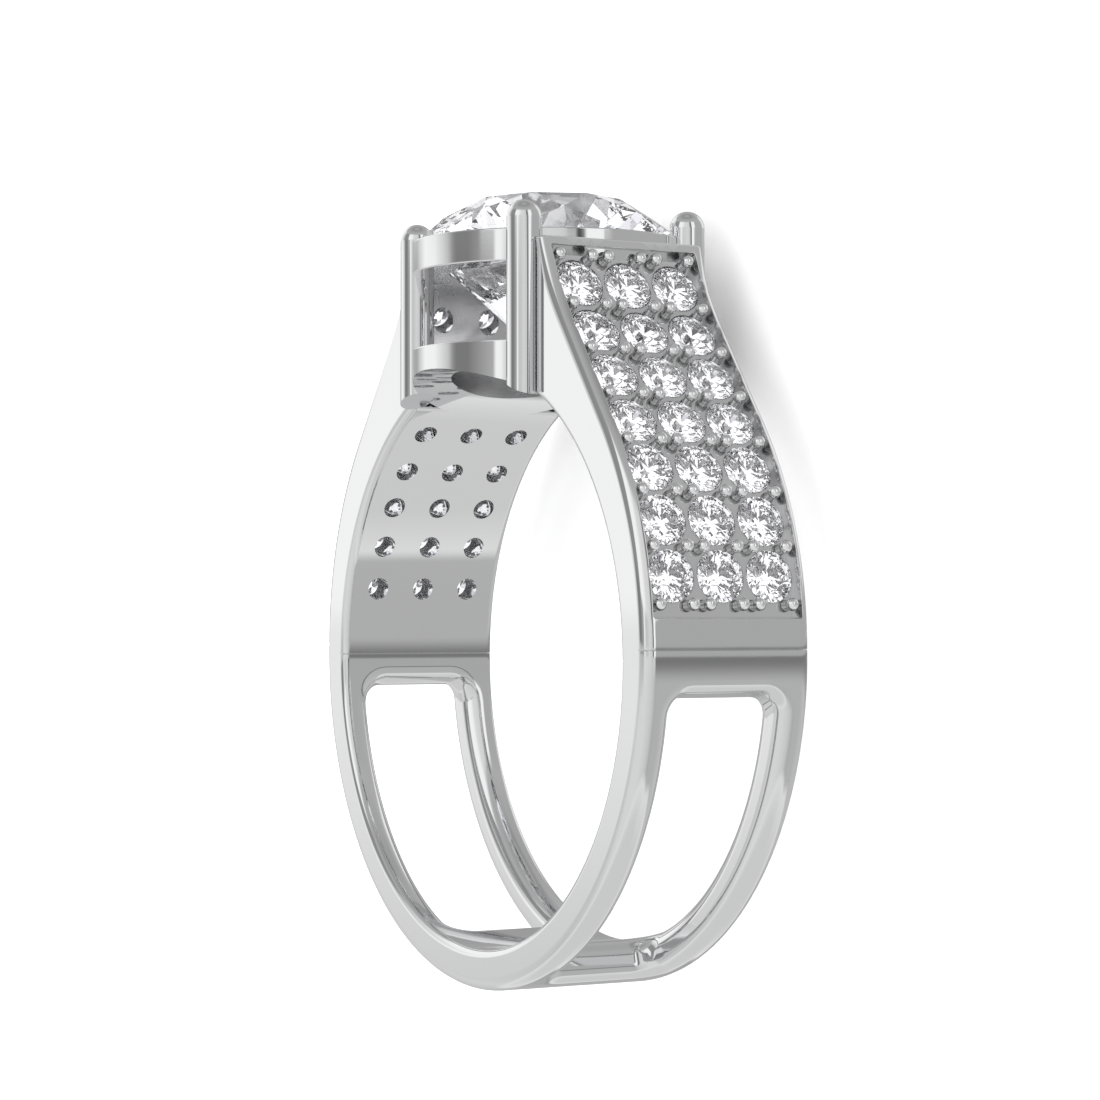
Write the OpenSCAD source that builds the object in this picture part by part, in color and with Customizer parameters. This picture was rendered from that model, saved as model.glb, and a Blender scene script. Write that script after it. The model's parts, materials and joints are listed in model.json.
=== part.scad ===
/* [Finger hole and band] */
// Diameter of the finger hole, a US size 7
bore_d = 17.3; // [17.2:0.05:17.4]
// Width of the band along the finger
band_w = 5.52; // [5.5:0.02:6]
// Outside radius of the lower shank
shank_r = 10.01; // [9.9:0.01:10.1]
// How far the lower shank's outside circle is raised, which thins the band at the bottom
shank_lift = 0.12; // [0.08:0.01:0.2]
// Height of the seam where the shoulders meet the lower shank
seam_y = 0.38; // [0.2:0.02:0.5]

/* [Shoulders] */
// Radius of the shoulder's lower, convex arc
shoulder_r = 10.82; // [10.7:0.02:11]
// Lean of the shoulder's straight middle, from upright
shoulder_lean = 37; // [36:0.5:38]
// Height where the shoulder starts to flare back to upright
flare_y = 9.84; // [9.6:0.02:10]
// Radius of the shoulder's upper, concave arc
flare_r = 9.6; // [9:0.1:11]
// Height of the top bar's upper face
bar_top_y = 12.3; // [12.2:0.02:12.4]
// Height of the top bar
bar_h = 0.25; // [0.2:0.01:0.3]
// Open space between the two shoulders
head_gap = 7.74; // [7.7:0.02:7.8]

/* [Pave] */
// Diameter of a side stone
side_stone_d = 1.5; // [1.4:0.02:1.5]
// Rows of side stones on a shoulder
pave_rows = 7; // [5:1:7]
// Distance from row to row, along the shoulder
row_pitch = 1.67; // [1.64:0.01:1.69]
// Distance from column to column
column_pitch = 1.63; // [1.62:0.01:1.66]
// Width of the plain border along each rim
border_w = 0.31; // [0.26:0.01:0.32]
// Depth of the recess that the side stones sit in
recess_depth = 0.32; // [0.3:0.01:0.34]
// Diameter of a bead grain
bead_d = 0.38; // [0.34:0.01:0.38]
// Diameter of the post under a bead grain
post_d = 0.3; // [0.24:0.01:0.3]
// Diameter of the hole drilled under each side stone
drill_d = 0.72; // [0.6:0.02:0.8]

/* [Windows of the lower shank] */
// Width of the wire left along each rim
wire_w = 0.72; // [0.7:0.02:0.8]
// Height of the windows' upper edge
window_top_y = -0.9; // [-1:0.05:-0.8]
// Angle of the windows' lower edge, below the middle of the finger hole
window_end = 72.5; // [70:0.5:74]
// Corner radius of the windows
window_corner = 0.6; // [0.5:0.05:0.8]

/* [Basket] */
// Radius of a prong
prong_r = 0.52; // [0.5:0.01:0.54]
// Distance of the prongs from the middle, along the finger
prong_z = 2.797; // [2.78:0.005:2.82]
// Distance of the prongs from the middle, across the finger
prong_x = 3.37; // [3.36:0.005:3.39]
// Height of the prongs' domed tops
prong_top_y = 13.4; // [13.3:0.05:13.5]
// Outside radius of both gallery rails
rail_r = 4.172; // [4.16:0.004:4.2]
// Inside radius of both gallery rails
rail_hole_r = 3; // [2.9:0.05:3.1]
// Height of the upper rail's underside
upper_rail_y = 11.665; // [11.6:0.01:11.75]
// Height of the upper rail's top
upper_rail_top_y = 12.634; // [12.62:0.002:12.65]
// Height of the lower rail's top
lower_rail_top_y = 9.384; // [9.3:0.01:9.5]

/* [Stones] */
// Diameter of the centre stone
centre_stone_d = 8; // [7.96:0.01:8]
// Height of the centre stone's girdle
girdle_y = 12.6; // [12.58:0.01:12.62]
// Diameter of a table, as a share of the stone
table_share = 0.55; // [0.53:0.01:0.6]
// Slope of the centre stone's crown
crown_angle = 34.5; // [32:0.5:36]
// Slope of a side stone's crown
side_crown_angle = 33; // [30:0.5:35]
// Slope of the stones' lower half
pavilion_angle = 40.75; // [40:0.25:42]
// Thickness of a girdle, as a share of the stone
girdle_share = 0.02; // [0.015:0.005:0.025]
// Gap between each stone and its seat
stone_gap = 0.02; // [0.015:0.005:0.03]

/* [Hidden] */
$fn = 96;
metal_tint = [0.85, 0.86, 0.87];
stone_tint = [0.93, 0.95, 1];

// A length that is longer than the whole ring, for tools that cut right through
past = 40;
wall_x = head_gap / 2;

// Directions in the ring's own plane, with the angle up from +X
function along(a) = [cos(a), sin(a)];
function across(a) = [-sin(a), cos(a)];

// The shoulder's outside: a convex arc, a straight and a concave arc, each tangent to the next
shank_x = sqrt(shank_r * shank_r - (seam_y - shank_lift) * (seam_y - shank_lift));
arc_centre = [shank_x - shoulder_r, seam_y];
arc_end = arc_centre + shoulder_r * along(shoulder_lean);
arc_length = shoulder_r * shoulder_lean * PI / 180;
straight_length = (flare_y - arc_end[1]) / cos(shoulder_lean);
flare_start = arc_end + straight_length * across(shoulder_lean);
flare_centre = flare_start + flare_r * along(shoulder_lean);
bar_drop = flare_centre[1] - bar_top_y;
bar_corner = [flare_centre[0] - sqrt(flare_r * flare_r - bar_drop * bar_drop), bar_top_y];

// The angle of the outside's normal at a distance s along the shoulder from the seam
function normal_angle(s) =
    s < arc_length ? s / shoulder_r * 180 / PI
    : s < arc_length + straight_length ? shoulder_lean
    : shoulder_lean - (s - arc_length - straight_length) / flare_r * 180 / PI;

// The point at a distance s along the shoulder and a depth below its outside
function shoulder_point(s, depth) =
    s < arc_length ? arc_centre + (shoulder_r - depth) * along(normal_angle(s))
    : s < arc_length + straight_length
    ? arc_end + (s - arc_length) * across(shoulder_lean) - depth * along(shoulder_lean)
    : flare_centre - (flare_r + depth) * along(normal_angle(s));

// The top row's place, and the recess between its two ends
top_row_s = 12.13;
recess_end_y = 1.25;
recess_half_w = band_w / 2 - border_w;
bead_depth = 0.1;
bead_offset = 0.545;
function row_s(row) = top_row_s - row * row_pitch;
function bead_line_s(line) = top_row_s - (line - 0.5) * row_pitch;

// Where the windows' cut starts, inside the finger hole
window_from_r = 6;

// Radius of the bright cut above each side stone's seat, which nicks the borders
bright_cut_r = 0.86;
bright_cut_rise = 0.05;

sides = [["right", 0], ["left", 1]];
columns = [-1, 0, 1];
function side_stone_name(side, row, column) =
    str("side_stone_", side, "_", row + 1, ["a", "b", "c"][column + 1]);

// The solid inside of one shoulder, with its outside moved in by a depth
module shoulder_outline(depth = 0) {
    lean = along(shoulder_lean);
    reach = 2 * shoulder_r;
    // The straight lies a hair inside the tangent of both arcs and each arc runs on past its end,
    // so that the curves cross at a slight angle and don't merely touch
    hair = 0.002;
    spare = 4;
    intersection() {
        translate(arc_centre) circle(r = shoulder_r - depth);
        polygon([
            arc_centre,
            arc_centre + reach * along(-spare),
            arc_centre + reach * along(shoulder_lean + spare)
        ]);
    }
    difference() {
        polygon([
            arc_centre,
            arc_end - (depth + hair) * lean,
            flare_start - (depth + hair) * lean,
            bar_corner,
            [0, bar_top_y]
        ]);
        translate(flare_centre) circle(r = flare_r + depth + 2 * hair);
    }
}

// The ring's side view: lower shank and both shoulders, without the finger hole
module band_outline() {
    difference() {
        union() {
            translate([0, shank_lift]) circle(r = shank_r);
            shoulder_outline();
            mirror([1, 0]) shoulder_outline();
        }
        translate([-wall_x, 0]) square([head_gap, past]);
    }
}

// What is taken off the shoulder between its borders, from the top bar down to the recess's end
module recess_outline() {
    difference() {
        translate([0, recess_end_y]) square([past, bar_top_y - bar_h - recess_end_y]);
        shoulder_outline(recess_depth);
    }
}

// Both shoulders' copy of what is made for the right one
module both_sides() {
    children();
    mirror([1, 0, 0]) children();
}

// Moves a piece to the shoulder's outside and turns its +Z outwards
module on_shoulder(s, depth, z) {
    at = shoulder_point(s, depth);
    translate([at[0], at[1], z]) rotate([0, 0, normal_angle(s)]) rotate([0, 90, 0]) children();
}

// One window of the lower shank with round corners, as the solid that is cut out
module window_cut() {
    half_w = band_w / 2 - wire_w;
    // The corners' centres lie a little nearer to the edges than their radius, so that each round
    // crosses the edges at a slight angle
    centre_inset = 0.985 * window_corner;
    inner_w = half_w - centre_inset;
    down = along(-window_end);
    // A wedge from the windows' upper edge to their lower edge, each moved in by a length
    module wedge(inset, half_width) {
        top_y = window_top_y - inset;
        edge = inset * across(-window_end);
        translate([0, 0, -half_width]) linear_extrude(height = 2 * half_width) polygon([
            [window_from_r, top_y],
            [past / 2, top_y],
            [past / 2, -past],
            past * down + edge,
            window_from_r * down + edge
        ]);
    }
    intersection() {
        wedge(0, half_w);
        union() {
            wedge(centre_inset, half_w);
            wedge(0, inner_w);
            for (z = [-inner_w, inner_w]) {
                translate([window_from_r, window_top_y - centre_inset, z])
                    rotate([0, 90, 0]) cylinder(r = window_corner, h = 8);
                translate([0, 0, z]) rotate([0, 0, -window_end])
                    translate([window_from_r, centre_inset, 0])
                    rotate([0, 90, 0]) cylinder(r = window_corner, h = 8);
            }
        }
    }
}

// The seat of a round stone whose girdle is centred on the origin and whose table faces +Z
module stone_seat(d, crown) {
    seat_r = d / 2 + stone_gap;
    half_girdle = d * girdle_share / 2 + stone_gap;
    translate([0, 0, -half_girdle]) cylinder(r = seat_r, h = 2 * half_girdle);
    translate([0, 0, -half_girdle - seat_r * tan(pavilion_angle)])
        cylinder(r1 = 0, r2 = seat_r, h = seat_r * tan(pavilion_angle));
    translate([0, 0, half_girdle]) cylinder(r1 = seat_r, r2 = 0, h = seat_r * tan(crown));
}

// The seat and the drilled hole of one side stone
module side_seat() {
    seat_r = side_stone_d / 2 + stone_gap;
    half_girdle = side_stone_d * girdle_share / 2 + stone_gap;
    cone_h = (seat_r - drill_d / 2) * tan(pavilion_angle);
    translate([0, 0, bright_cut_rise]) cylinder(r = bright_cut_r, h = 1);
    translate([0, 0, -half_girdle]) cylinder(r = seat_r, h = 1);
    translate([0, 0, -half_girdle - cone_h]) cylinder(r1 = drill_d / 2, r2 = seat_r, h = cone_h);
    translate([0, 0, -3]) cylinder(r = drill_d / 2, h = 3);
}

// A bead grain and its post, standing on the recess's floor
module bead() {
    translate([0, 0, -recess_depth]) cylinder(d = post_d, h = recess_depth);
    sphere(d = bead_d);
}

module shoulder_beads() {
    for (line = [0:pave_rows]) for (column = columns) for (side = [-1, 1])
        on_shoulder(bead_line_s(line), bead_depth, column * column_pitch + side * bead_offset) bead();
}

module shoulder_seats() {
    for (row = [0:pave_rows - 1]) for (column = columns)
        on_shoulder(row_s(row), recess_depth, column * column_pitch) side_seat();
}

// The band with its windows, recesses and seats
module band() {
    difference() {
        linear_extrude(height = band_w, center = true) band_outline();
        both_sides() {
            window_cut();
            linear_extrude(height = 2 * recess_half_w, center = true) recess_outline();
            shoulder_seats();
        }
    }
}

// A round gallery rail about the stone's axis, between two heights
module rail(low, high) {
    translate([0, low, 0]) rotate([-90, 0, 0]) difference() {
        cylinder(r = rail_r, h = high - low);
        translate([0, 0, -1]) cylinder(r = rail_hole_r, h = high - low + 2);
    }
}

module prong() {
    dome_y = prong_top_y - prong_r;
    foot_y = 6;
    translate([0, foot_y, 0]) rotate([-90, 0, 0]) cylinder(r = prong_r, h = dome_y - foot_y);
    translate([0, dome_y, 0]) sphere(r = prong_r);
}

// The four prongs and two rails, cut to the centre stone's seat
module basket() {
    difference() {
        union() {
            rail(upper_rail_y, upper_rail_top_y);
            rail(6, lower_rail_top_y);
            for (x = [-prong_x, prong_x]) for (z = [-prong_z, prong_z])
                translate([x, 0, z]) prong();
        }
        translate([0, girdle_y, 0]) rotate([-90, 0, 0]) stone_seat(centre_stone_d, crown_angle);
    }
}

// All of the metal: it is soldered and polished as one piece
module ring_mount() {
    color(metal_tint) difference() {
        union() {
            band();
            basket();
            both_sides() shoulder_beads();
        }
        cylinder(d = bore_d, h = past, center = true);
    }
}

// A round brilliant of 57 facets, with its girdle centred on the origin and its table towards +Z
module brilliant(d, crown) {
    girdle_r = d / 2;
    table_r = girdle_r * table_share;
    half_girdle = d * girdle_share / 2;
    // Where the star facets meet the girdle facets, and where the lower girdle facets end
    star_r = (table_r + girdle_r) / 2 * 1.05;
    lower_r = girdle_r * 0.24;
    half_step = 22.5;
    table_z = half_girdle + (girdle_r - table_r) * tan(crown);
    star_z = table_z - (star_r * cos(half_step) - table_r) * tan(crown);
    lower_z = -half_girdle - (girdle_r - lower_r * cos(half_step)) * tan(pavilion_angle);
    culet_z = -half_girdle - girdle_r * tan(pavilion_angle);
    function ring(r, z, count, turn) = [for (i = [0:count - 1])
        [r * cos(i * 360 / count + turn), r * sin(i * 360 / count + turn), z]];
    points = concat(
        ring(table_r, table_z, 8, 0),
        ring(star_r, star_z, 8, half_step),
        ring(girdle_r, half_girdle, 16, 0),
        ring(girdle_r, -half_girdle, 16, 0),
        ring(lower_r, lower_z, 8, half_step),
        [[0, 0, culet_z]]
    );
    // The first point of each ring above
    star = 8;
    upper = 16;
    lower = 32;
    end = 48;
    culet = 56;
    faces = concat(
        [[for (i = [7:-1:0]) i]],
        [for (i = [0:7]) [i, (i + 1) % 8, star + i]],
        [for (i = [0:7]) [i, star + i, upper + 2 * i, star + (i + 7) % 8]],
        [for (i = [0:7]) [star + i, upper + 2 * i + 1, upper + 2 * i]],
        [for (i = [0:7]) [star + i, upper + (2 * i + 2) % 16, upper + 2 * i + 1]],
        [for (i = [0:15]) [upper + i, upper + (i + 1) % 16, lower + (i + 1) % 16, lower + i]],
        [for (i = [0:7]) [end + i, lower + 2 * i, lower + 2 * i + 1]],
        [for (i = [0:7]) [end + i, lower + 2 * i + 1, lower + (2 * i + 2) % 16]],
        [for (i = [0:7]) [culet, end + (i + 7) % 8, lower + 2 * i, end + i]]
    );
    polyhedron(points = points, faces = faces);
}

module centre_stone() {
    color(stone_tint) translate([0, girdle_y, 0]) rotate([-90, 0, 0])
        brilliant(centre_stone_d, crown_angle);
}

module side_stone(mirrored, row, column) {
    color(stone_tint) mirror([mirrored, 0, 0])
        on_shoulder(row_s(row), recess_depth, column * column_pitch)
        brilliant(side_stone_d, side_crown_angle);
}

ring_mount();
centre_stone();
for (side = sides) for (row = [0:pave_rows - 1]) for (column = columns)
    side_stone(side[1], row, column);
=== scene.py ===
"""A polished white gold ring: a round stone in a four-prong basket, pave shoulders and a windowed shank.

Lengths in the classes are millimetres in the ring's own frame: X across the finger, Y up to the
centre stone, Z along the finger. They become metres when a mesh is made.
"""

import json
import logging
import math
from collections.abc import Callable
from dataclasses import dataclass, field
from enum import Enum, IntEnum

import bmesh
import bpy
import numpy as np
from mathutils import Matrix, Vector
from mathutils.geometry import delaunay_2d_cdt

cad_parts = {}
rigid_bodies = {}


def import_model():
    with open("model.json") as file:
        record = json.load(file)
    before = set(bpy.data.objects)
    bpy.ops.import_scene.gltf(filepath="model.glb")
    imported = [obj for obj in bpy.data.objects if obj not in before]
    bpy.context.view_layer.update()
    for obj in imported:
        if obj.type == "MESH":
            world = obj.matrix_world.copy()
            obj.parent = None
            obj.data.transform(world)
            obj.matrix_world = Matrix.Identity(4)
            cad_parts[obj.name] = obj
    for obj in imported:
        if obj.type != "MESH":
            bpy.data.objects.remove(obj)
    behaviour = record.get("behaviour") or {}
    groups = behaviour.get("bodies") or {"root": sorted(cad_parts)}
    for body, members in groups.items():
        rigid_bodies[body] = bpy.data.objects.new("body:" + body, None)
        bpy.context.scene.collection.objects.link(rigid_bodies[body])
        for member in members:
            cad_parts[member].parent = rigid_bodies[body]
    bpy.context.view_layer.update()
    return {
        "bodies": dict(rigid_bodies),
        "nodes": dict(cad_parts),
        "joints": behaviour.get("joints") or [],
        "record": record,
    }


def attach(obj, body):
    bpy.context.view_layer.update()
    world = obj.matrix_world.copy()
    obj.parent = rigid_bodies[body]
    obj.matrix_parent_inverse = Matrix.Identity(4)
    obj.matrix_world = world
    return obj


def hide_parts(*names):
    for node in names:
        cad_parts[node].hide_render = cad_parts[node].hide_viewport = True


log = logging.getLogger("ring")
MM = 0.001
Z_AXIS = np.array([0.0, 0.0, 1.0])
# The mesh layer of painted light on the metal: a factor on its colour, below one for painted shade in
# corners, recesses and on walls that face the stone, above one for painted highlights
PAINTED_LIGHT = "painted_light"
# Points of a mesh closer together than this, in millimetres, are joined
JOIN = 1e-4
# Slack for comparing places that are meant to be equal
TINY = 1e-6
# A brilliant's usual angles, of its crown and of its pavilion
CROWN = math.radians(34.5)
PAVILION = math.radians(40.75)


class Slot(Enum):
    """The record's material slots."""

    METAL = "white_gold"
    CENTRE = "centre_gem"
    SIDE = "side_gem"


class Side(Enum):
    """The two shoulders: RIGHT is at +X and LEFT its mirror image."""

    RIGHT = 1
    LEFT = -1


# Meshes


class Patchwork:
    """Faces gathered patch by patch, where each corner keeps the true normal of its own surface."""

    def __init__(self) -> None:
        """Starts with no patches."""
        self.patches: list[tuple[np.ndarray, np.ndarray, np.ndarray, np.ndarray]] = []

    def add(
        self, points: np.ndarray, normals: np.ndarray, faces: np.ndarray,
        painted_light: float | np.ndarray = 1.0,
    ) -> None:
        """Adds one patch of triangles.

        Args:
            points: its points, in millimetres.
            normals: the surface's normal at each point.
            faces: three point indices a row, turned here to face along the normals.
            painted_light: the painted shade and highlight at each point, a factor on the metal's colour
                that is below one where shade is painted.
        """
        faces = np.array(faces, int)
        a, b, c = points[faces[:, 0]], points[faces[:, 1]], points[faces[:, 2]]
        across = np.cross(b - a, c - a)
        wrong = (across * normals[faces].sum(1)).sum(1) < 0
        faces[wrong] = faces[wrong][:, ::-1]
        self.patches.append((points, normals, faces, np.broadcast_to(painted_light, len(points))))

    def strip(
        self, rows: list[np.ndarray], normals: list[np.ndarray],
        painted_light: list[float | np.ndarray] | None = None,
    ) -> None:
        """Adds the band of faces between closed rows of points.

        Args:
            rows: the rows, each with as many points.
            normals: their normals.
            painted_light: the painted shade and highlight on each row, none painted if left out.
        """
        n = len(rows[0])
        i = np.arange(n)
        j = (i + 1) % n
        faces = []
        for row in range(len(rows) - 1):
            low, high = row * n, (row + 1) * n
            faces.append(np.stack([low + i, low + j, high + j], 1))
            faces.append(np.stack([low + i, high + j, high + i], 1))
        strip_painted_light = np.concatenate([np.broadcast_to(value, n) for value in painted_light or [1.0] * len(rows)])
        self.add(np.concatenate(rows), np.concatenate(normals), np.concatenate(faces), strip_painted_light)

    def cap(self, row: np.ndarray, normal: np.ndarray) -> None:
        """Closes a loop of points with a fan round its middle.

        Args:
            row: the loop.
            normal: the cap's normal.
        """
        n = len(row)
        points = np.vstack([row, row.mean(0)])
        i = np.arange(n)
        faces = np.stack([i, (i + 1) % n, np.full(n, n)], 1)
        self.add(points, np.tile(normal, (n + 1, 1)), faces)

    def build(self, name: str) -> bpy.types.Object:
        """Makes the object, with points that coincide joined.

        Args:
            name: the piece's name.

        Returns:
            The new object, linked to the scene.
        """
        starts = np.cumsum([0] + [len(patch[0]) for patch in self.patches])
        points = np.concatenate([patch[0] for patch in self.patches])
        normals = np.concatenate([patch[1] for patch in self.patches])
        faces = np.concatenate([patch[2] + s for patch, s in zip(self.patches, starts)])
        painted_light = np.concatenate([patch[3] for patch in self.patches])
        keys = np.round(points / JOIN).astype(np.int64)
        _, first, index = np.unique(keys, axis=0, return_index=True, return_inverse=True)
        joined = index.reshape(-1)[faces]
        whole = (joined != np.roll(joined, 1, 1)).all(1)
        faces, joined = faces[whole], joined[whole]
        mesh = bpy.data.meshes.new(name)
        mesh.from_pydata((points[first] * MM).tolist(), [], joined.tolist())
        corner = normals[faces.reshape(-1)]
        corner = corner / np.maximum(np.linalg.norm(corner, axis=1, keepdims=True), 1e-12)
        mesh.shade_smooth()
        mesh.normals_split_custom_set(corner.tolist())
        # The painted shade and highlight go on each face corner as a layer that the metal's material reads
        layer = mesh.attributes.new(PAINTED_LIGHT, "FLOAT", "CORNER")
        layer.data.foreach_set("value", painted_light[faces.reshape(-1)].astype(np.float32))
        mesh.update()
        thing = bpy.data.objects.new(name, mesh)
        bpy.context.scene.collection.objects.link(thing)
        return thing


def inside(points: np.ndarray, loops: list[np.ndarray]) -> np.ndarray:
    """Which flat points lie inside an odd number of loops.

    Args:
        points: flat points.
        loops: closed loops of flat points.

    Returns:
        One true or false a point.
    """
    odd = np.zeros(len(points), bool)
    x, y = points[:, None, 0], points[:, None, 1]
    for loop in loops:
        a, b = loop[None], np.roll(loop, -1, 0)[None]
        spans = (a[..., 1] > y) != (b[..., 1] > y)
        rise = np.where(b[..., 1] == a[..., 1], 1.0, b[..., 1] - a[..., 1])
        cross = a[..., 0] + (y - a[..., 1]) * (b[..., 0] - a[..., 0]) / rise
        odd ^= (spans & (x < cross)).sum(1) % 2 == 1
    return odd


def fill(
    loops: list[np.ndarray], grid: np.ndarray | None = None, clear: float = 0.1
) -> tuple[np.ndarray, np.ndarray]:
    """Fills the flat region inside loops with triangles.

    Args:
        loops: closed loops; the first is the outside, the others are holes.
        grid: points that the triangles also use where they lie well inside.
        clear: how far from the loops that is.

    Returns:
        The flat points, with the loops' own first and in order, and the triangles.
    """
    border = np.concatenate(loops)
    points = border
    if grid is not None:
        grid = grid[inside(grid, loops)]
        near = np.full(len(grid), np.inf)
        # A part of the border at a time, which keeps the table of gaps small
        for start in range(0, len(border), 256):
            gap = grid[:, None] - border[None, start:start + 256]
            near = np.minimum(near, np.sqrt((gap**2).sum(2)).min(1))
        points = np.concatenate([border, grid[near > clear]])
    edges, start = [], 0
    for loop in loops:
        n = len(loop)
        edges += [(start + i, start + (i + 1) % n) for i in range(n)]
        start += n
    corners = [Vector(p) for p in points.tolist()]
    found, _, faces, _, _, _ = delaunay_2d_cdt(corners, edges, [], 0, 1e-7)
    if len(found) != len(points):
        raise ValueError("the loops cross or touch")
    faces = np.array(faces)
    return points, faces[inside(points[faces].mean(1), loops)]


def rounded_box(
    low: float, high: float, half: float, corner: float, grow: float
) -> tuple[np.ndarray, np.ndarray]:
    """A closed loop round a box with round corners, always of as many points.

    Args:
        low: lower end along the first axis.
        high: upper end along the first axis.
        half: half of its width along the second axis.
        corner: corner radius.
        grow: how far the loop lies outside the box.

    Returns:
        The loop's points and its outward normals.
    """
    # Steps along a long and a short side, and the turns of a round corner
    side_steps = (30, 8)
    turns = np.linspace(0, math.pi / 2, 9)
    centres = [(high - corner, half - corner), (low + corner, half - corner),
               (low + corner, corner - half), (high - corner, corner - half)]
    points, normals = [], []
    for k, centre in enumerate(centres):
        angle = turns + k * math.pi / 2
        normal = np.stack([np.cos(angle), np.sin(angle)], 1)
        arc = np.array(centre) + (corner + grow) * normal
        following = np.array(centres[(k + 1) % 4])
        count = side_steps[k % 2]
        share = (np.arange(1, count) / count)[:, None]
        run = arc[-1] + share * (following + (corner + grow) * normal[-1] - arc[-1])
        points += [arc, run]
        normals += [normal, np.tile(normal[-1], (count - 1, 1))]
    return np.concatenate(points), np.concatenate(normals)


def loop_normals(loop: np.ndarray) -> np.ndarray:
    """The outward normals of a closed counterclockwise loop.

    Args:
        loop: its flat points.

    Returns:
        One normal a point.
    """
    along = np.roll(loop, -1, 0) - loop
    along /= np.linalg.norm(along, axis=1, keepdims=True)
    side = np.stack([along[:, 1], -along[:, 0]], 1)
    mean = side + np.roll(side, 1, 0)
    return mean / np.linalg.norm(mean, axis=1, keepdims=True)


# Dressing


def coat(piece: bpy.types.Object, finish: bpy.types.Material) -> None:
    """Gives a piece its finish.

    Args:
        piece: the piece.
        finish: its material.
    """
    piece.data.materials.clear()
    piece.data.materials.append(finish)


class MetalPart:
    """A part of the ring's metal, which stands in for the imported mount."""

    def dress(self, piece: bpy.types.Object, gold: bpy.types.Material) -> None:
        """Puts the part's piece in the mount's place and gives it its finish.

        Args:
            piece: what the part built.
            gold: its material.
        """
        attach(piece, "root")
        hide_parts("ring_mount")
        coat(piece, gold)


# The band


@dataclass(frozen=True)
class Bend:
    """A round piece of a flat curve, with the metal outside the round where the radius is negative."""

    centre: np.ndarray
    radius: float
    start: float
    length: float

    def at(self, t: np.ndarray) -> tuple[np.ndarray, np.ndarray]:
        """Its points at distances along it, and the angles of the normals there."""
        angle = self.start + t / self.radius
        return self.centre + self.radius * unit(angle), angle


@dataclass(frozen=True)
class Straight:
    """A straight piece of a flat curve."""

    start: np.ndarray
    way: np.ndarray
    normal: float
    length: float

    def at(self, t: np.ndarray) -> tuple[np.ndarray, np.ndarray]:
        """Its points at distances along it, and the angles of the normals there."""
        return self.start + t[:, None] * self.way, np.full(len(t), self.normal)


@dataclass(frozen=True)
class Corner:
    """A corner of a flat curve, rounded between the angles of the normals before and after it."""

    sharp: np.ndarray
    radius: float
    before: float
    after: float

    @property
    def mitre(self) -> np.ndarray:
        """The way from the round's centre to the sharp point, for a radius of one."""
        first, second = unit(self.before), unit(self.after)
        return (first + second) / (1 + first @ second)

    @property
    def centre(self) -> np.ndarray:
        """The round's centre."""
        return self.sharp - self.radius * self.mitre

    def bend(self) -> Bend:
        """The round piece that it puts in the curve."""
        return Bend(self.centre, self.radius, self.before, self.radius * (self.after - self.before))


class Piece(IntEnum):
    """The pieces of the right half of the band's side view, from the bottom's outside on."""

    SHANK = 0
    SHOULDER = 1
    SLOPE = 2
    FLARE = 3
    TIP = 4
    TOP = 5
    BRINK = 6
    WALL = 7
    FOOT = 8
    BORE = 9


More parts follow.
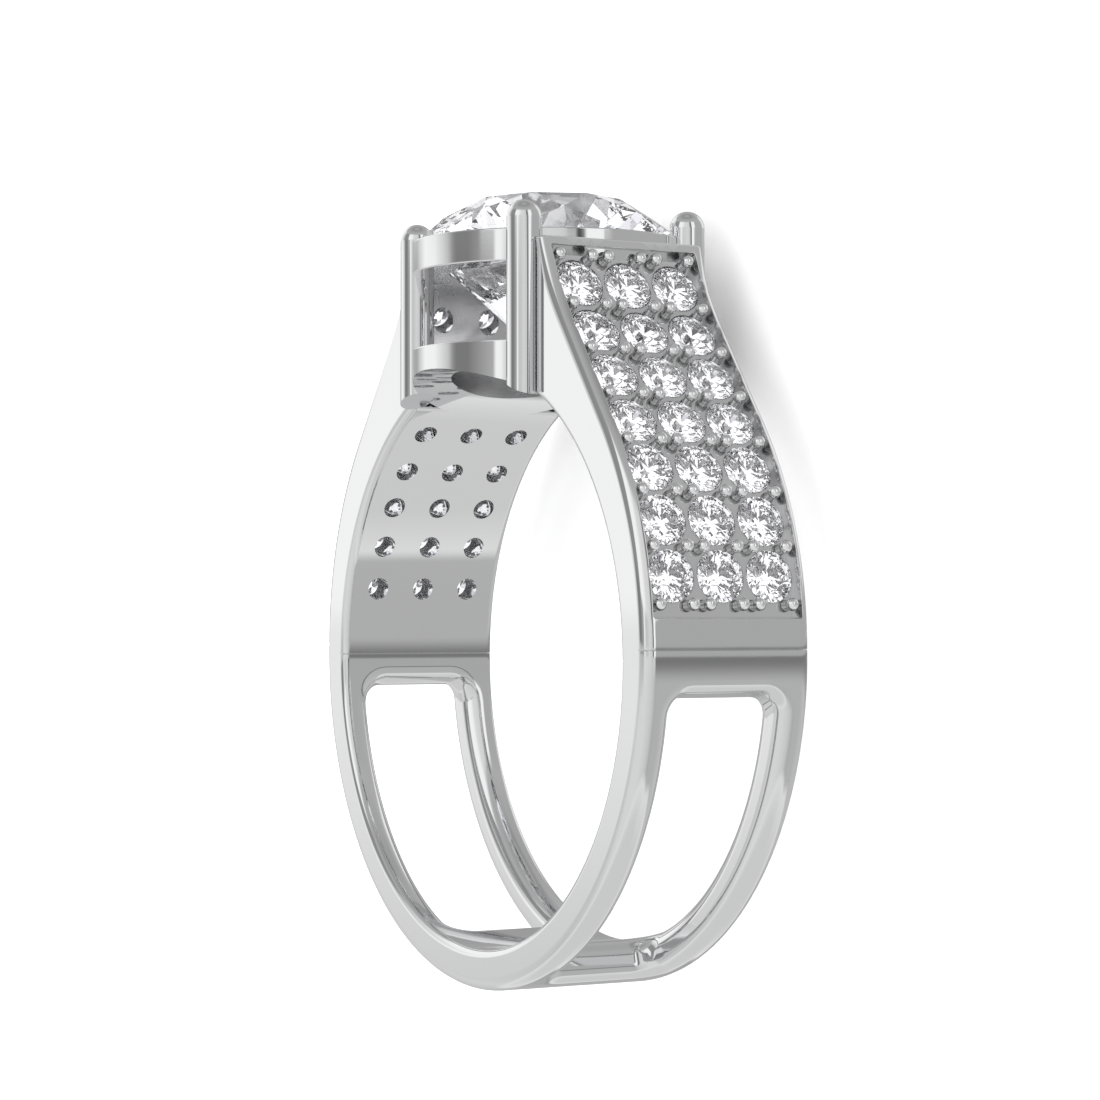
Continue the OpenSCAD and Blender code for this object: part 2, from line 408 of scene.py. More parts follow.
@dataclass(frozen=True)
class Outline:
    """The band's side view as one closed curve, measured from the bottom's outside.

    The curve runs up the right shoulder's outside, over its top, down the wall that faces the
    stone, round the finger hole and back the same way on the left.
    """

    bore_r: float = 8.65
    shank_r: float = 10.01
    shank_lift: float = 0.12
    seam_y: float = 0.38
    shoulder_r: float = 10.82
    lean: float = math.radians(37.0)
    flare_y: float = 9.84
    flare_r: float = 9.6
    top_y: float = 12.3
    wall_x: float = 3.87
    # Roundness of the top's two corners and of the corner between wall and finger hole
    top_corner: float = 0.1
    wall_corner: float = 0.14
    # The fine groove left where the shoulders were soldered on, outside and in the finger hole
    seam_half: float = 0.022
    seam_depth: float = 0.05
    bore_seam_y: float = 0.08
    # How far from a corner a curve moved inwards can still pass it
    corner_reach: float = 1.5
    # How many points stand for the shoulder where a height is looked up on it
    lookup_points: int = 4000

    corners: dict[Piece, Corner] = field(init=False)
    pieces: tuple[Bend | Straight, ...] = field(init=False)
    starts: np.ndarray = field(init=False)
    bore_from: float = field(init=False)
    half: float = field(init=False)
    length: float = field(init=False)
    seams: np.ndarray = field(init=False)

    def __post_init__(self) -> None:
        """Works out the curve's pieces."""
        lift = np.array([0, self.shank_lift])
        seam_angle = math.asin((self.seam_y - self.shank_lift) / self.shank_r)
        arc = np.array([self.shank_r * math.cos(seam_angle) - self.shoulder_r, self.seam_y])
        out = unit(self.lean)
        up = np.array([-out[1], out[0]])
        arc_end = arc + self.shoulder_r * out
        rise = (self.flare_y - arc_end[1]) / up[1]
        flare = arc_end + rise * up + self.flare_r * out
        tip_angle = math.asin((flare[1] - self.top_y) / self.flare_r)
        tip_at = np.array([flare[0] - self.flare_r * math.cos(tip_angle), self.top_y])
        foot_at = np.array([self.wall_x, math.sqrt(self.bore_r**2 - self.wall_x**2)])
        foot_angle = math.atan2(foot_at[1], foot_at[0])
        tip = Corner(tip_at, self.top_corner, tip_angle, math.pi / 2)
        brink = Corner(np.array([self.wall_x, self.top_y]), self.top_corner, math.pi / 2, math.pi)
        foot = Corner(foot_at, self.wall_corner, math.pi, math.pi + foot_angle)
        cut = np.linalg.norm(tip.centre + tip.radius * unit(tip_angle) - tip_at) / self.flare_r
        foot_end = foot.centre + foot.radius * unit(foot.after)
        bore_from = math.atan2(foot_end[1], foot_end[0])
        pieces = (
            Bend(lift, self.shank_r, -math.pi / 2, self.shank_r * (math.pi / 2 + seam_angle)),
            Bend(arc, self.shoulder_r, 0.0, self.shoulder_r * self.lean),
            Straight(arc_end, up, self.lean, rise),
            Bend(flare, -self.flare_r, self.lean, self.flare_r * (self.lean - tip_angle - cut)),
            tip.bend(),
            Straight(
                tip.centre + np.array([0, tip.radius]), np.array([-1.0, 0]), math.pi / 2,
                tip.centre[0] - brink.centre[0],
            ),
            brink.bend(),
            Straight(
                brink.centre - np.array([brink.radius, 0]), np.array([0, -1.0]), math.pi,
                brink.centre[1] - foot.centre[1],
            ),
            foot.bend(),
            Bend(np.zeros(2), -self.bore_r, bore_from + math.pi, self.bore_r * (bore_from + math.pi / 2)),
        )
        starts = np.cumsum([0] + [piece.length for piece in pieces])
        half = float(starts[-1])
        bore_turn = bore_from - math.asin(self.bore_seam_y / self.bore_r)
        seams = np.array([starts[Piece.SHOULDER], starts[Piece.BORE] + bore_turn * self.bore_r])
        worked_out = {
            "corners": {Piece.TIP: tip, Piece.BRINK: brink, Piece.FOOT: foot},
            "pieces": pieces,
            "starts": starts,
            "bore_from": bore_from,
            "half": half,
            "length": 2 * half,
            "seams": np.concatenate([seams, 2 * half - seams]),
        }
        for name, value in worked_out.items():
            object.__setattr__(self, name, value)

    def fold(self, u: np.ndarray) -> np.ndarray:
        """Distances along the curve, mirrored to its right half."""
        return np.minimum(u % self.length, self.length - u % self.length)

    def on_side(self, side: Side, u: np.ndarray | float) -> np.ndarray | float:
        """The distance along the curve, on one side, of a distance u on its right half."""
        return u if side is Side.RIGHT else self.length - u

    def piece_at(self, u: np.ndarray) -> np.ndarray:
        """The number of the piece that each distance along the curve lies in."""
        return np.clip(np.searchsorted(self.starts, self.fold(u), side="right") - 1, 0, len(Piece) - 1)

    def at(self, u: np.ndarray) -> tuple[np.ndarray, np.ndarray]:
        """The curve's points and outward normals.

        Args:
            u: distances along the curve.

        Returns:
            The points and normals, flat.
        """
        u = np.asarray(u, float) % self.length
        which = self.piece_at(u)
        along = self.fold(u) - self.starts[which]
        point = np.zeros(u.shape + (2,))
        angle = np.zeros(u.shape)
        for number, piece in enumerate(self.pieces):
            on = which == number
            point[on], angle[on] = piece.at(along[on])
        normal = unit(angle)
        for seam in self.seams:
            groove = np.clip(1 - np.abs(u - seam) / self.seam_half, 0, 1)
            point -= (self.seam_depth * groove)[..., None] * normal
        left = u > self.half
        point[left, 0] *= -1
        normal[left, 0] *= -1
        return point, normal

    def place(self, u: np.ndarray, z: np.ndarray, depth: float | np.ndarray = 0.0) -> np.ndarray:
        """Points at distances u along the curve and z along the finger, sunk by a depth.

        Args:
            u: distances along the curve.
            z: distances along the finger.
            depth: how far each point lies inside the metal.

        Returns:
            The points.
        """
        point, normal = self.at(u)
        flat = point - normal * np.broadcast_to(depth, u.shape)[:, None]
        return np.column_stack([flat, np.broadcast_to(z, u.shape)])

    def frames(self, u: np.ndarray) -> tuple[np.ndarray, np.ndarray]:
        """The outward normals and the directions of growing u, as vectors in space.

        Args:
            u: distances along the curve.

        Returns:
            The normals, which lean with the walls of the seams' grooves, and the directions.
        """
        _, normal = self.at(u)
        u = u % self.length
        lean = np.zeros(len(u))
        slope = math.atan2(self.seam_depth, self.seam_half)
        # On a groove's walls, between its bottom and its lips
        for seam in self.seams:
            share = np.abs(u - seam) / self.seam_half
            wall = (share > 0.01) & (share < 0.99)
            lean -= np.where(wall, np.sign(u - seam) * slope, 0)
        cos, sin = np.cos(lean), np.sin(lean)
        x, y = normal[:, 0], normal[:, 1]
        normal = np.column_stack([x * cos - y * sin, x * sin + y * cos])
        zero = np.zeros(len(u))
        return np.column_stack([normal, zero]), np.column_stack([-normal[:, 1], normal[:, 0], zero])

    def inset(self, u: np.ndarray, depth: np.ndarray) -> np.ndarray:
        """The curve moved in by a depth that may change along it, with its corners mitred.

        Args:
            u: distances along the curve.
            depth: one depth for each.

        Returns:
            The flat points.
        """
        point, normal = self.at(u)
        piece = self.piece_at(u)
        flip = np.where((u % self.length) > self.half, -1.0, 1.0)
        point[:, 0] *= flip
        normal = normal * np.column_stack([flip, np.ones(len(u))])
        moved = point - depth[:, None] * normal
        along = np.column_stack([-normal[:, 1], normal[:, 0]])
        for number, corner in self.corners.items():
            beyond = np.maximum(depth - corner.radius, 0)[:, None]
            tip = corner.centre - beyond * corner.mitre
            on = piece == number
            moved[on] = (tip + np.maximum(corner.radius - depth, 0)[:, None] * normal)[on]
            before = (piece == number - 1) & (((moved - tip) * along).sum(1) > 0)
            after = (piece == number + 1) & (((moved - tip) * along).sum(1) < 0)
            close = np.linalg.norm(point - corner.centre, axis=1) < self.corner_reach
            held = (before | after) & close
            moved[held] = tip[held]
        moved[:, 0] *= flip
        return moved

    def on_shoulder(self, side: Side, s: float | np.ndarray) -> float | np.ndarray:
        """The distance along the curve of a place s up a shoulder's outside from its seam."""
        return self.on_side(side, self.starts[Piece.SHOULDER] + s)

    def height_to_s(self, y: float, depth: float = 0.0) -> float:
        """How far up the shoulder from its seam the surface at a depth passes a height.

        Args:
            y: the height.
            depth: how far under the surface.

        Returns:
            The distance up the shoulder.
        """
        start = self.starts[Piece.SHOULDER]
        s = np.linspace(0, self.starts[Piece.TIP] - start, self.lookup_points)
        point, normal = self.at(start + s)
        return float(np.interp(y, point[:, 1] - depth * normal[:, 1], s))

    def on_bore(self, angle: np.ndarray) -> np.ndarray:
        """The distance along the curve of an angle round the right half of the finger hole."""
        return self.starts[Piece.BORE] + (self.bore_from - angle) * self.bore_r


def unit(angle: np.ndarray | float) -> np.ndarray:
    """Unit vectors at angles up from +X, in radians."""
    return np.stack([np.cos(angle), np.sin(angle)], -1)


def between(start: float, end: float, step: float) -> list[float]:
    """Evenly spaced places between two ends, without them and at most a step apart."""
    count = math.ceil((end - start) / step)
    return [start + (end - start) * k / count for k in range(1, count)]


@dataclass(frozen=True)
class Pave:
    """Where the side stones and bead grains sit on a shoulder."""

    rows: int = 7
    top_s: float = 12.13
    row_pitch: float = 1.67
    column_pitch: float = 1.63
    recess_depth: float = 0.32
    recess_half: float = 2.45
    recess_low_y: float = 1.25
    recess_high_y: float = 12.05
    recess_corner: float = 0.05
    seat_r: float = 0.77
    seat_drop: float = 0.035
    seat_slope: float = PAVILION
    bright_cut_r: float = 0.855
    drill_r: float = 0.36
    bead_r: float = 0.19
    post_r: float = 0.15
    bead_depth: float = 0.1
    bead_offset: float = 0.545
    # Points on the arc of a bright cut, along a recess's edge and ends, and across its floor
    nick_points: int = 7
    edge_step: float = 0.35
    end_points: int = 14
    floor_lines: int = 49

    def row_s(self) -> list[float]:
        """Each row's distance up the shoulder, from the top row down."""
        return [self.top_s - row * self.row_pitch for row in range(self.rows)]

    def bead_s(self) -> list[float]:
        """Each bead line's distance up the shoulder, from the top line down."""
        return [self.top_s - (line - 0.5) * self.row_pitch for line in range(self.rows + 1)]

    def columns(self) -> list[float]:
        """The columns' places along the finger."""
        return [-self.column_pitch, 0.0, self.column_pitch]

    def seats(self) -> np.ndarray:
        """Each stone's distance up the shoulder and along the finger."""
        return np.array([(s, z) for s in self.row_s() for z in self.columns()])

    def beads(self) -> np.ndarray:
        """Each bead grain's distance up the shoulder and along the finger."""
        offsets = (-self.bead_offset, self.bead_offset)
        return np.array([(s, z + off) for s in self.bead_s() for z in self.columns() for off in offsets])


@dataclass
class Band(MetalPart):
    """The shank and shoulders, with rounded rims, windows, recesses and drilled seats."""

    outline: Outline
    pave: Pave
    width: float = 5.52
    rim_r: float = 0.4
    inner_rim_r: float = 0.25
    # The rims shrink to the inner roundness over this stretch before the shoulder's tip
    rim_fade: float = 1.5
    # Where the shoulder's end is thin the rims take a share of its thickness
    thin_share: float = 0.42
    thin_rim_r: float = 0.12
    thin_from_y: float = 9.0
    thin_within_x: float = 6.5
    thickness_points: int = 400
    # Beside a recess the surface runs on over the border, which lies in the rim's round
    border_reach: float = 2.53
    border_ends: tuple[float, float] = (0.35, 0.2)
    wire_w: float = 0.97
    window_top_y: float = -0.9
    window_end: float = math.radians(-72.5)
    window_corner: float = 0.6
    window_edge_r: float = 0.45
    window_inner_edge_r: float = 0.58
    recess_edge_r: float = 0.022
    round_steps: int = 8
    seat_points: int = 28
    # Spacing of the points along the pieces of the outline, and across a seam's groove
    steps: tuple[float, ...] = (0.42, 0.3, 0.3, 0.25, 0.03, 0.1, 0.03, 0.3, 0.035, 0.38)
    groove_shares: tuple[float, ...] = (-1.0, -0.8, -0.2, 0.2, 0.8, 1.0)
    # Lines of points round the band, and how far from its middle they reach
    grid_lines: int = 12
    grid_reach: float = 2.36
    # Spacing of the points on a recess's floor, their reach and their distance from its edges
    floor_step: float = 0.1
    floor_reach: float = 2.4
    floor_clear: float = 0.04
    # Painted shade in the corners of a recess and on the walls that face the stone, and a painted highlight
    # on the top's edge
    corner_painted_shade: float = 0.9
    wall_painted_shade: float = 0.83
    top_painted_highlight: float = 1.28
    # Painted shade under a recess's edge and at the mouth of a drilled hole, and the darkest that a floor's
    # painted shade goes
    recess_edge_painted_shade: float = 0.75
    mouth_painted_shade: float = 0.7
    darkest_floor_painted_shade: float = 0.7
    # How far from the posts, the seats and the walls a floor gets painted shade
    floor_shade_fades: tuple[float, float, float] = (0.08, 0.05, 0.06)
    work: Patchwork = field(default_factory=Patchwork)
    holes: list[np.ndarray] = field(default_factory=list)

    def rim_radius(self, u: np.ndarray) -> np.ndarray:
        """The rims' roundness: wider outside than in the finger hole, and less where the tip is thin.

        Args:
            u: distances along the curve.

        Returns:
            One radius for each.
        """
        line = self.outline
        point, _ = line.at(u)
        tip = line.starts[Piece.TIP]
        radius = np.interp(
            line.fold(u), [0.0, tip - self.rim_fade, tip], [self.rim_r, self.rim_r, self.inner_rim_r]
        )
        shoulder, _ = line.at(np.linspace(line.starts[Piece.SHOULDER], tip, self.thickness_points))
        thick = np.interp(point[:, 1], shoulder[:, 1], shoulder[:, 0]) - line.wall_x
        thin = (point[:, 1] > self.thin_from_y) & (np.abs(point[:, 0]) < self.thin_within_x)
        thin_radius = np.minimum(np.maximum(self.thin_share * thick, self.thin_rim_r), radius)
        return np.where(thin, thin_radius, radius)

    def crown(self, u: np.ndarray, z: np.ndarray) -> tuple[np.ndarray, np.ndarray]:
        """How the surface falls away where it runs into the rounded rims.

        Args:
            u: distances along the curve.
            z: distances along the finger.

        Returns:
            The depth under the curve and the angle that the surface leans towards the rim.
        """
        radius = self.rim_radius(u)
        over = (np.abs(z) - (self.width / 2 - radius)) / radius
        lean = np.arcsin(np.clip(over, 0, 1))
        return radius * (1 - np.cos(lean)), np.sign(z) * lean

    def surface(
        self, u: np.ndarray, z: np.ndarray, depth: float = 0.0
    ) -> tuple[np.ndarray, np.ndarray, np.ndarray]:
        """Points under the band's crowned surface.

        Args:
            u: distances along the curve.
            z: distances along the finger.
            depth: how far they lie under the surface.

        Returns:
            The points, the surface's normals there and the directions of growing u.
        """
        fall, lean = self.crown(u, z)
        out, along = self.outline.frames(u)
        normal = np.cos(lean)[:, None] * out + np.sin(lean)[:, None] * Z_AXIS
        return self.outline.place(u, z, depth + fall), normal, along

    def stations(self) -> np.ndarray:
        """Where along the curve the band's surface gets a line of points across it.

        Returns:
            The distances along the curve, from 0 to its whole length.
        """
        line = self.outline
        right = [
            np.linspace(a, b, max(2, round((b - a) / step)) + 1)[:-1]
            for a, b, step in zip(line.starts[:-1], line.starts[1:], self.steps)
        ]
        grooves = [seam + line.seam_half * np.array(self.groove_shares) for seam in line.seams[:2]]
        right = np.sort(np.concatenate(right + grooves + [[line.seams[1], line.half]]))
        return np.concatenate([right, line.length - right[-2::-1]])

    def edge_ring(
        self,
        path: Callable[[float], np.ndarray],
        normals: np.ndarray,
        u_of: Callable[[np.ndarray], np.ndarray],
        way: float,
        radius: float,
    ) -> tuple[list[np.ndarray], list[np.ndarray]]:
        """Rows of points that round the edge of a hole.

        Args:
            path: gives the hole's loop for an outward growth.
            normals: the loop's outward normals.
            u_of: turns the loop's first coordinate into a distance along the curve.
            way: +1 where both grow together, else -1.
            radius: the edge's roundness.

        Returns:
            The rows, from the surface to the hole's wall, and their normals.
        """
        rows, row_normals = [], []
        for turn in np.linspace(0, math.pi / 2, self.round_steps + 1):
            grown = path(radius * (1 - math.sin(turn)))
            points, out, along = self.surface(u_of(grown[:, 0]), grown[:, 1], radius * (1 - math.cos(turn)))
            into = -(way * normals[:, :1] * along + normals[:, 1:] * Z_AXIS)
            rows.append(points)
            row_normals.append(math.cos(turn) * out + math.sin(turn) * into)
        return rows, row_normals

    def window_edge(
        self, side: Side, on_bore: bool, span: tuple[float, float]
    ) -> tuple[list[np.ndarray], list[np.ndarray]]:
        """Rounds a window's edge on one surface of the shank, and notes its hole there.

        Args:
            side: which window.
            on_bore: whether the surface is the finger hole's.
            span: where the window lies along the surface.

        Returns:
            The rows, from the surface to the window's wall, and their normals.
        """
        line = self.outline
        half = self.width / 2 - self.wire_w

        def loop(grow: float) -> np.ndarray:
            """The window's loop for an outward growth."""
            return rounded_box(*span, half, self.window_corner, grow)[0]

        def u_of(v: np.ndarray) -> np.ndarray:
            """The distance along the curve of a distance along the surface."""
            return line.on_side(side, line.on_bore(v / line.bore_r) if on_bore else v)

        _, flat = rounded_box(*span, half, self.window_corner, 0)
        way = -float(side.value) if on_bore else float(side.value)
        edge_r = self.window_inner_edge_r if on_bore else self.window_edge_r
        hole = loop(edge_r)
        self.holes.append(np.column_stack([u_of(hole[:, 0]), hole[:, 1]]))
        return self.edge_ring(loop, flat, u_of, way, edge_r)

    def cut_windows(self) -> None:
        """Makes the walls of both windows and notes their holes in the inner and outer surface."""
        line = self.outline
        lift = line.shank_lift
        end = unit(self.window_end)
        reach = end[1] * lift + math.sqrt((end[1] * lift) ** 2 - lift**2 + line.shank_r**2)
        low = math.atan2(reach * end[1] - lift, reach * end[0])
        high = math.asin((self.window_top_y - lift) / line.shank_r)
        outer = (line.shank_r * (low + math.pi / 2), line.shank_r * (high + math.pi / 2))
        inner = (line.bore_r * self.window_end, line.bore_r * math.asin(self.window_top_y / line.bore_r))
        for side in Side:
            rows, normals = self.window_edge(side, False, outer)
            inner_rows, inner_normals = self.window_edge(side, True, inner)
            self.work.strip(rows + inner_rows[::-1], normals + inner_normals[::-1])

    def recess_loop(self) -> tuple[np.ndarray, float, float]:
        """The recess's outline, nicked by the bright cut round each outer stone.

        Returns:
            The loop of distances up the shoulder and along the finger, and its two ends.
        """
        pave, line = self.pave, self.outline
        low = line.height_to_s(pave.recess_low_y)
        high = line.height_to_s(pave.recess_high_y)
        half, corner = pave.recess_half, pave.recess_corner
        nick = math.acos((half - pave.column_pitch) / pave.bright_cut_r)
        track = [(low + corner, half)]
        for row_s in sorted(pave.row_s()):
            arc = np.array([row_s, pave.column_pitch]) + pave.bright_cut_r * np.array(
                [(-math.sin(turn), math.cos(turn)) for turn in np.linspace(nick, -nick, pave.nick_points)]
            )
            track += [(s, half) for s in between(track[-1][0], arc[0, 0], pave.edge_step)]
            track += [(s, z) for s, z in arc]
        track += [(s, half) for s in between(track[-1][0], high - corner, pave.edge_step)]
        track.append((high - corner, half))
        across = np.linspace(-half + corner, half - corner, pave.end_points)
        loop = track[::-1] + [(low, z) for z in across[::-1]] + [(s, -z) for s, z in track]
        loop += [(high, z) for z in across]
        return np.array(loop), low, high

    def cut_recess(self, side: Side) -> None:
        """Makes one shoulder's recess: its walls, its floor and the drilled seats in it.

        Args:
            side: which shoulder.
        """
        line, pave = self.outline, self.pave
        loop, low, high = self.recess_loop()
        normals = loop_normals(loop)

        def u_of(s: np.ndarray) -> np.ndarray:
            """The distance along the curve of a distance up this shoulder."""
            return line.on_shoulder(side, s)

        rows, row_normals = self.edge_ring(
            lambda grow: loop + grow * normals, normals, u_of, float(side.value), self.recess_edge_r
        )
        hole = loop + self.recess_edge_r * normals
        self.holes.append(np.column_stack([u_of(hole[:, 0]), hole[:, 1]]))
        at_low, at_high = loop[:, 0] < low + TINY, loop[:, 0] > high - TINY
        wall_normals = row_normals[-1]
        wall_normals[at_low] = (0, 1, 0)
        wall_normals[at_high] = (0, -1, 0)
        floor_loop = loop.copy()
        floor_loop[at_low, 0] = line.height_to_s(pave.recess_low_y, pave.recess_depth)
        floor_loop[at_high, 0] = line.height_to_s(pave.recess_high_y, pave.recess_depth)
        foot = line.place(u_of(floor_loop[:, 0]), floor_loop[:, 1], pave.recess_depth)
        # Painted shade down the recess's walls: darker under the edge than at the floor
        wall_painted_shade = [self.recess_edge_painted_shade, self.corner_painted_shade]
        self.work.strip([rows[-1], foot], [wall_normals] * 2, wall_painted_shade)
        self.work.strip(rows, row_normals)
        turn = np.linspace(0, 2 * math.pi, self.seat_points, endpoint=False)
        rings = [seat + pave.seat_r * unit(turn) for seat in pave.seats()]
        across = np.linspace(-self.floor_reach, self.floor_reach, pave.floor_lines)
        grid = np.stack(np.meshgrid(np.arange(low, high, self.floor_step), across), -1)
        flat, faces = fill([floor_loop] + rings, grid.reshape(-1, 2), self.floor_clear)
        u = u_of(flat[:, 0])
        out, _ = line.frames(u)
        painted_light = self.floor_painted_shade(flat, floor_loop)
        self.work.add(line.place(u, flat[:, 1], pave.recess_depth), out, faces, painted_light)
        for seat, ring in zip(pave.seats(), rings):
            self.drill(side, seat, ring, turn)

    def floor_painted_shade(self, flat: np.ndarray, loop: np.ndarray) -> np.ndarray:
        """The painted shade on a recess's floor: darker beside its walls, the stones and the grains' posts.

        Args:
            flat: places on the floor.
            loop: the floor's outline.

        Returns:
            One value for each place.
        """
        pave = self.pave
        spots = (pave.beads(), pave.seats(), loop)
        reaches = (pave.post_r, pave.seat_r, 0.0)
        painted_light = np.ones(len(flat))
        for places, reach, fade in zip(spots, reaches, self.floor_shade_fades):
            gap = np.linalg.norm(flat[:, None] - places[None], axis=2).min(1) - reach
            share = np.clip(gap / fade, 0, 1)
            painted_light *= self.corner_painted_shade + (1 - self.corner_painted_shade) * share
        return np.maximum(painted_light, self.darkest_floor_painted_shade)

    def drill(self, side: Side, seat: np.ndarray, ring: np.ndarray, turn: np.ndarray) -> None:
        """Makes one stone's seat and the hole drilled under it.

        Args:
            side: which shoulder.
            seat: the stone's distance up the shoulder and along the finger.
            ring: the seat's rim on the recess's floor.
            turn: the rim points' angles.
        """
        line, pave = self.outline, self.pave
        way = float(side.value)
        u = np.array([line.on_shoulder(side, seat[0])])
        centre = line.place(u, seat[1:], pave.recess_depth)[0]
        out, along = (v[0] for v in line.frames(u))
        spoke = np.cos(turn)[:, None] * along * way + np.sin(turn)[:, None] * Z_AXIS
        cone = (pave.seat_r - pave.drill_r) * math.tan(pave.seat_slope)
        rim = line.place(line.on_shoulder(side, ring[:, 0]), ring[:, 1], pave.recess_depth)
        step = centre + pave.seat_r * spoke - pave.seat_drop * out
        neck = centre + pave.drill_r * spoke - (pave.seat_drop + cone) * out
        cone_normal = math.cos(pave.seat_slope) * out - math.sin(pave.seat_slope) * spoke
        # Painted shade in the seat, darker still at the drilled hole's mouth
        self.work.strip([rim, step], [-spoke] * 2, [self.corner_painted_shade] * 2)
        self.work.strip([step, neck], [cone_normal] * 2, [self.corner_painted_shade, self.mouth_painted_shade])
        # The hole comes out in the wall that faces the centre stone or in the finger hole
        flip = np.array([way, 1.0])
        start, way_in = neck[:, :2] * flip, out[:2] * flip
        on_wall = start[:, 1] - (start[:, 0] - line.wall_x) / way_in[0] * way_in[1]
        if on_wall.mean() > line.corners[Piece.FOOT].sharp[1]:
            exit_u = line.starts[Piece.WALL] + (line.corners[Piece.BRINK].centre[1] - on_wall)
        else:
            inward = start @ way_in
            travel = inward - np.sqrt(inward**2 - (start**2).sum(1) + line.bore_r**2)
            end = start - travel[:, None] * way_in
            exit_u = line.on_bore(np.arctan2(end[:, 1], end[:, 0]))
        exit_u = line.on_side(side, exit_u)
        self.holes.append(np.column_stack([exit_u, neck[:, 2]]))
        self.work.strip([neck, line.place(exit_u, neck[:, 2])], [-spoke] * 2)

    def painted_light_at(self, u: np.ndarray) -> np.ndarray:
        """The painted light along the curve: painted shade on the walls that face the centre stone, and a
        painted highlight on the top's outer corner.

        Args:
            u: distances along the curve.

        Returns:
            One value for each.
        """
        starts = self.outline.starts
        folded = self.outline.fold(u)
        painted_light = np.ones(len(u))
        painted_light[(folded > starts[Piece.BRINK]) & (folded < starts[Piece.FOOT])] = self.wall_painted_shade
        on_tip = (folded > starts[Piece.TIP] + TINY) & (folded < starts[Piece.TOP] - TINY)
        painted_light[on_tip] = self.top_painted_highlight
        return painted_light

    def border(self, u: np.ndarray, edge: np.ndarray) -> np.ndarray:
        """How far from the middle the surface runs before the rims, also beside the recesses.

        Args:
            u: distances along the curve.
            edge: where the rims' rounds begin.

        Returns:
            One distance for each.
        """
        line, pave = self.outline, self.pave
        start = line.starts[Piece.SHOULDER]
        low = start + line.height_to_s(pave.recess_low_y) - self.border_ends[0]
        high = start + line.height_to_s(pave.recess_high_y) + self.border_ends[1]
        folded = line.fold(u)
        beside = (folded > low) & (folded < high)
        return np.where(beside, np.maximum(edge, self.border_reach), edge)

    def wrap(self) -> None:
        """Makes the inner and outer surface, the rounded rims and the flat sides."""
        line = self.outline
        u = self.stations()
        radius = self.rim_radius(u)
        edge = self.border(u, self.width / 2 - radius)
        across = np.linspace(-edge[0], edge[0], self.grid_lines)[1:-1]
        last = np.full(len(across), line.length)
        frame = np.concatenate([
            np.column_stack([u, -edge]),
            np.column_stack([last, across]),
            np.column_stack([u, edge])[::-1],
            np.column_stack([last * 0, across[::-1]]),
        ])
        lines = np.linspace(-self.grid_reach, self.grid_reach, self.grid_lines)
        grid = np.stack(np.meshgrid(u, lines), -1).reshape(-1, 2)
        flat, faces = fill([frame] + self.holes, grid)
        points, normals, _ = self.surface(flat[:, 0], flat[:, 1])
        self.work.add(points, normals, faces, self.painted_light_at(flat[:, 0]))
        for way in (1.0, -1.0):
            self.close_side(way, u[:-1], radius[:-1], edge[:-1])

    def close_side(self, way: float, u: np.ndarray, radius: np.ndarray, edge: np.ndarray) -> None:
        """Makes one rim and the flat side inside it.

        Args:
            way: +1 for the side at +Z, -1 for the other.
            u: distances along the curve.
            radius: the rim's roundness at each.
            edge: how far from the middle the rim begins there.
        """
        line = self.outline
        out, _ = line.frames(u)
        start, normal, _ = self.surface(u, way * edge)
        rows, normals = [start], [normal]
        _, lean = self.crown(u, edge)
        for share in np.linspace(0, 1, self.round_steps + 1)[1:]:
            turn = lean + share * (math.pi / 2 - lean)
            inset = line.inset(u, radius * (1 - np.cos(turn)))
            z = way * (self.width / 2 - radius * (1 - np.sin(turn)))
            rows.append(np.column_stack([inset, z]))
            normals.append(np.cos(turn)[:, None] * out + way * np.sin(turn)[:, None] * Z_AXIS)
        self.work.strip(rows, normals, [self.painted_light_at(u)] * len(rows))
        loop = rows[-1][:, :2]
        apart = np.linalg.norm(loop - np.roll(loop, 1, 0), axis=1) > JOIN
        flat, faces = fill([loop[apart]])
        side_face = np.column_stack([flat, np.full(len(flat), way * self.width / 2)])
        self.work.add(side_face, np.tile(way * Z_AXIS, (len(flat), 1)), faces)

    def build(self) -> bpy.types.Object:
        """Makes the whole band.

        Returns:
            The band's object.
        """
        self.cut_windows()
        for side in Side:
            self.cut_recess(side)
        self.wrap()
        return self.work.build("band")


# The basket


Profile = list[tuple[float, float, float, float]]
# Stands in a profile for a normal that points at the finger hole's middle
ON_BORE = -math.inf


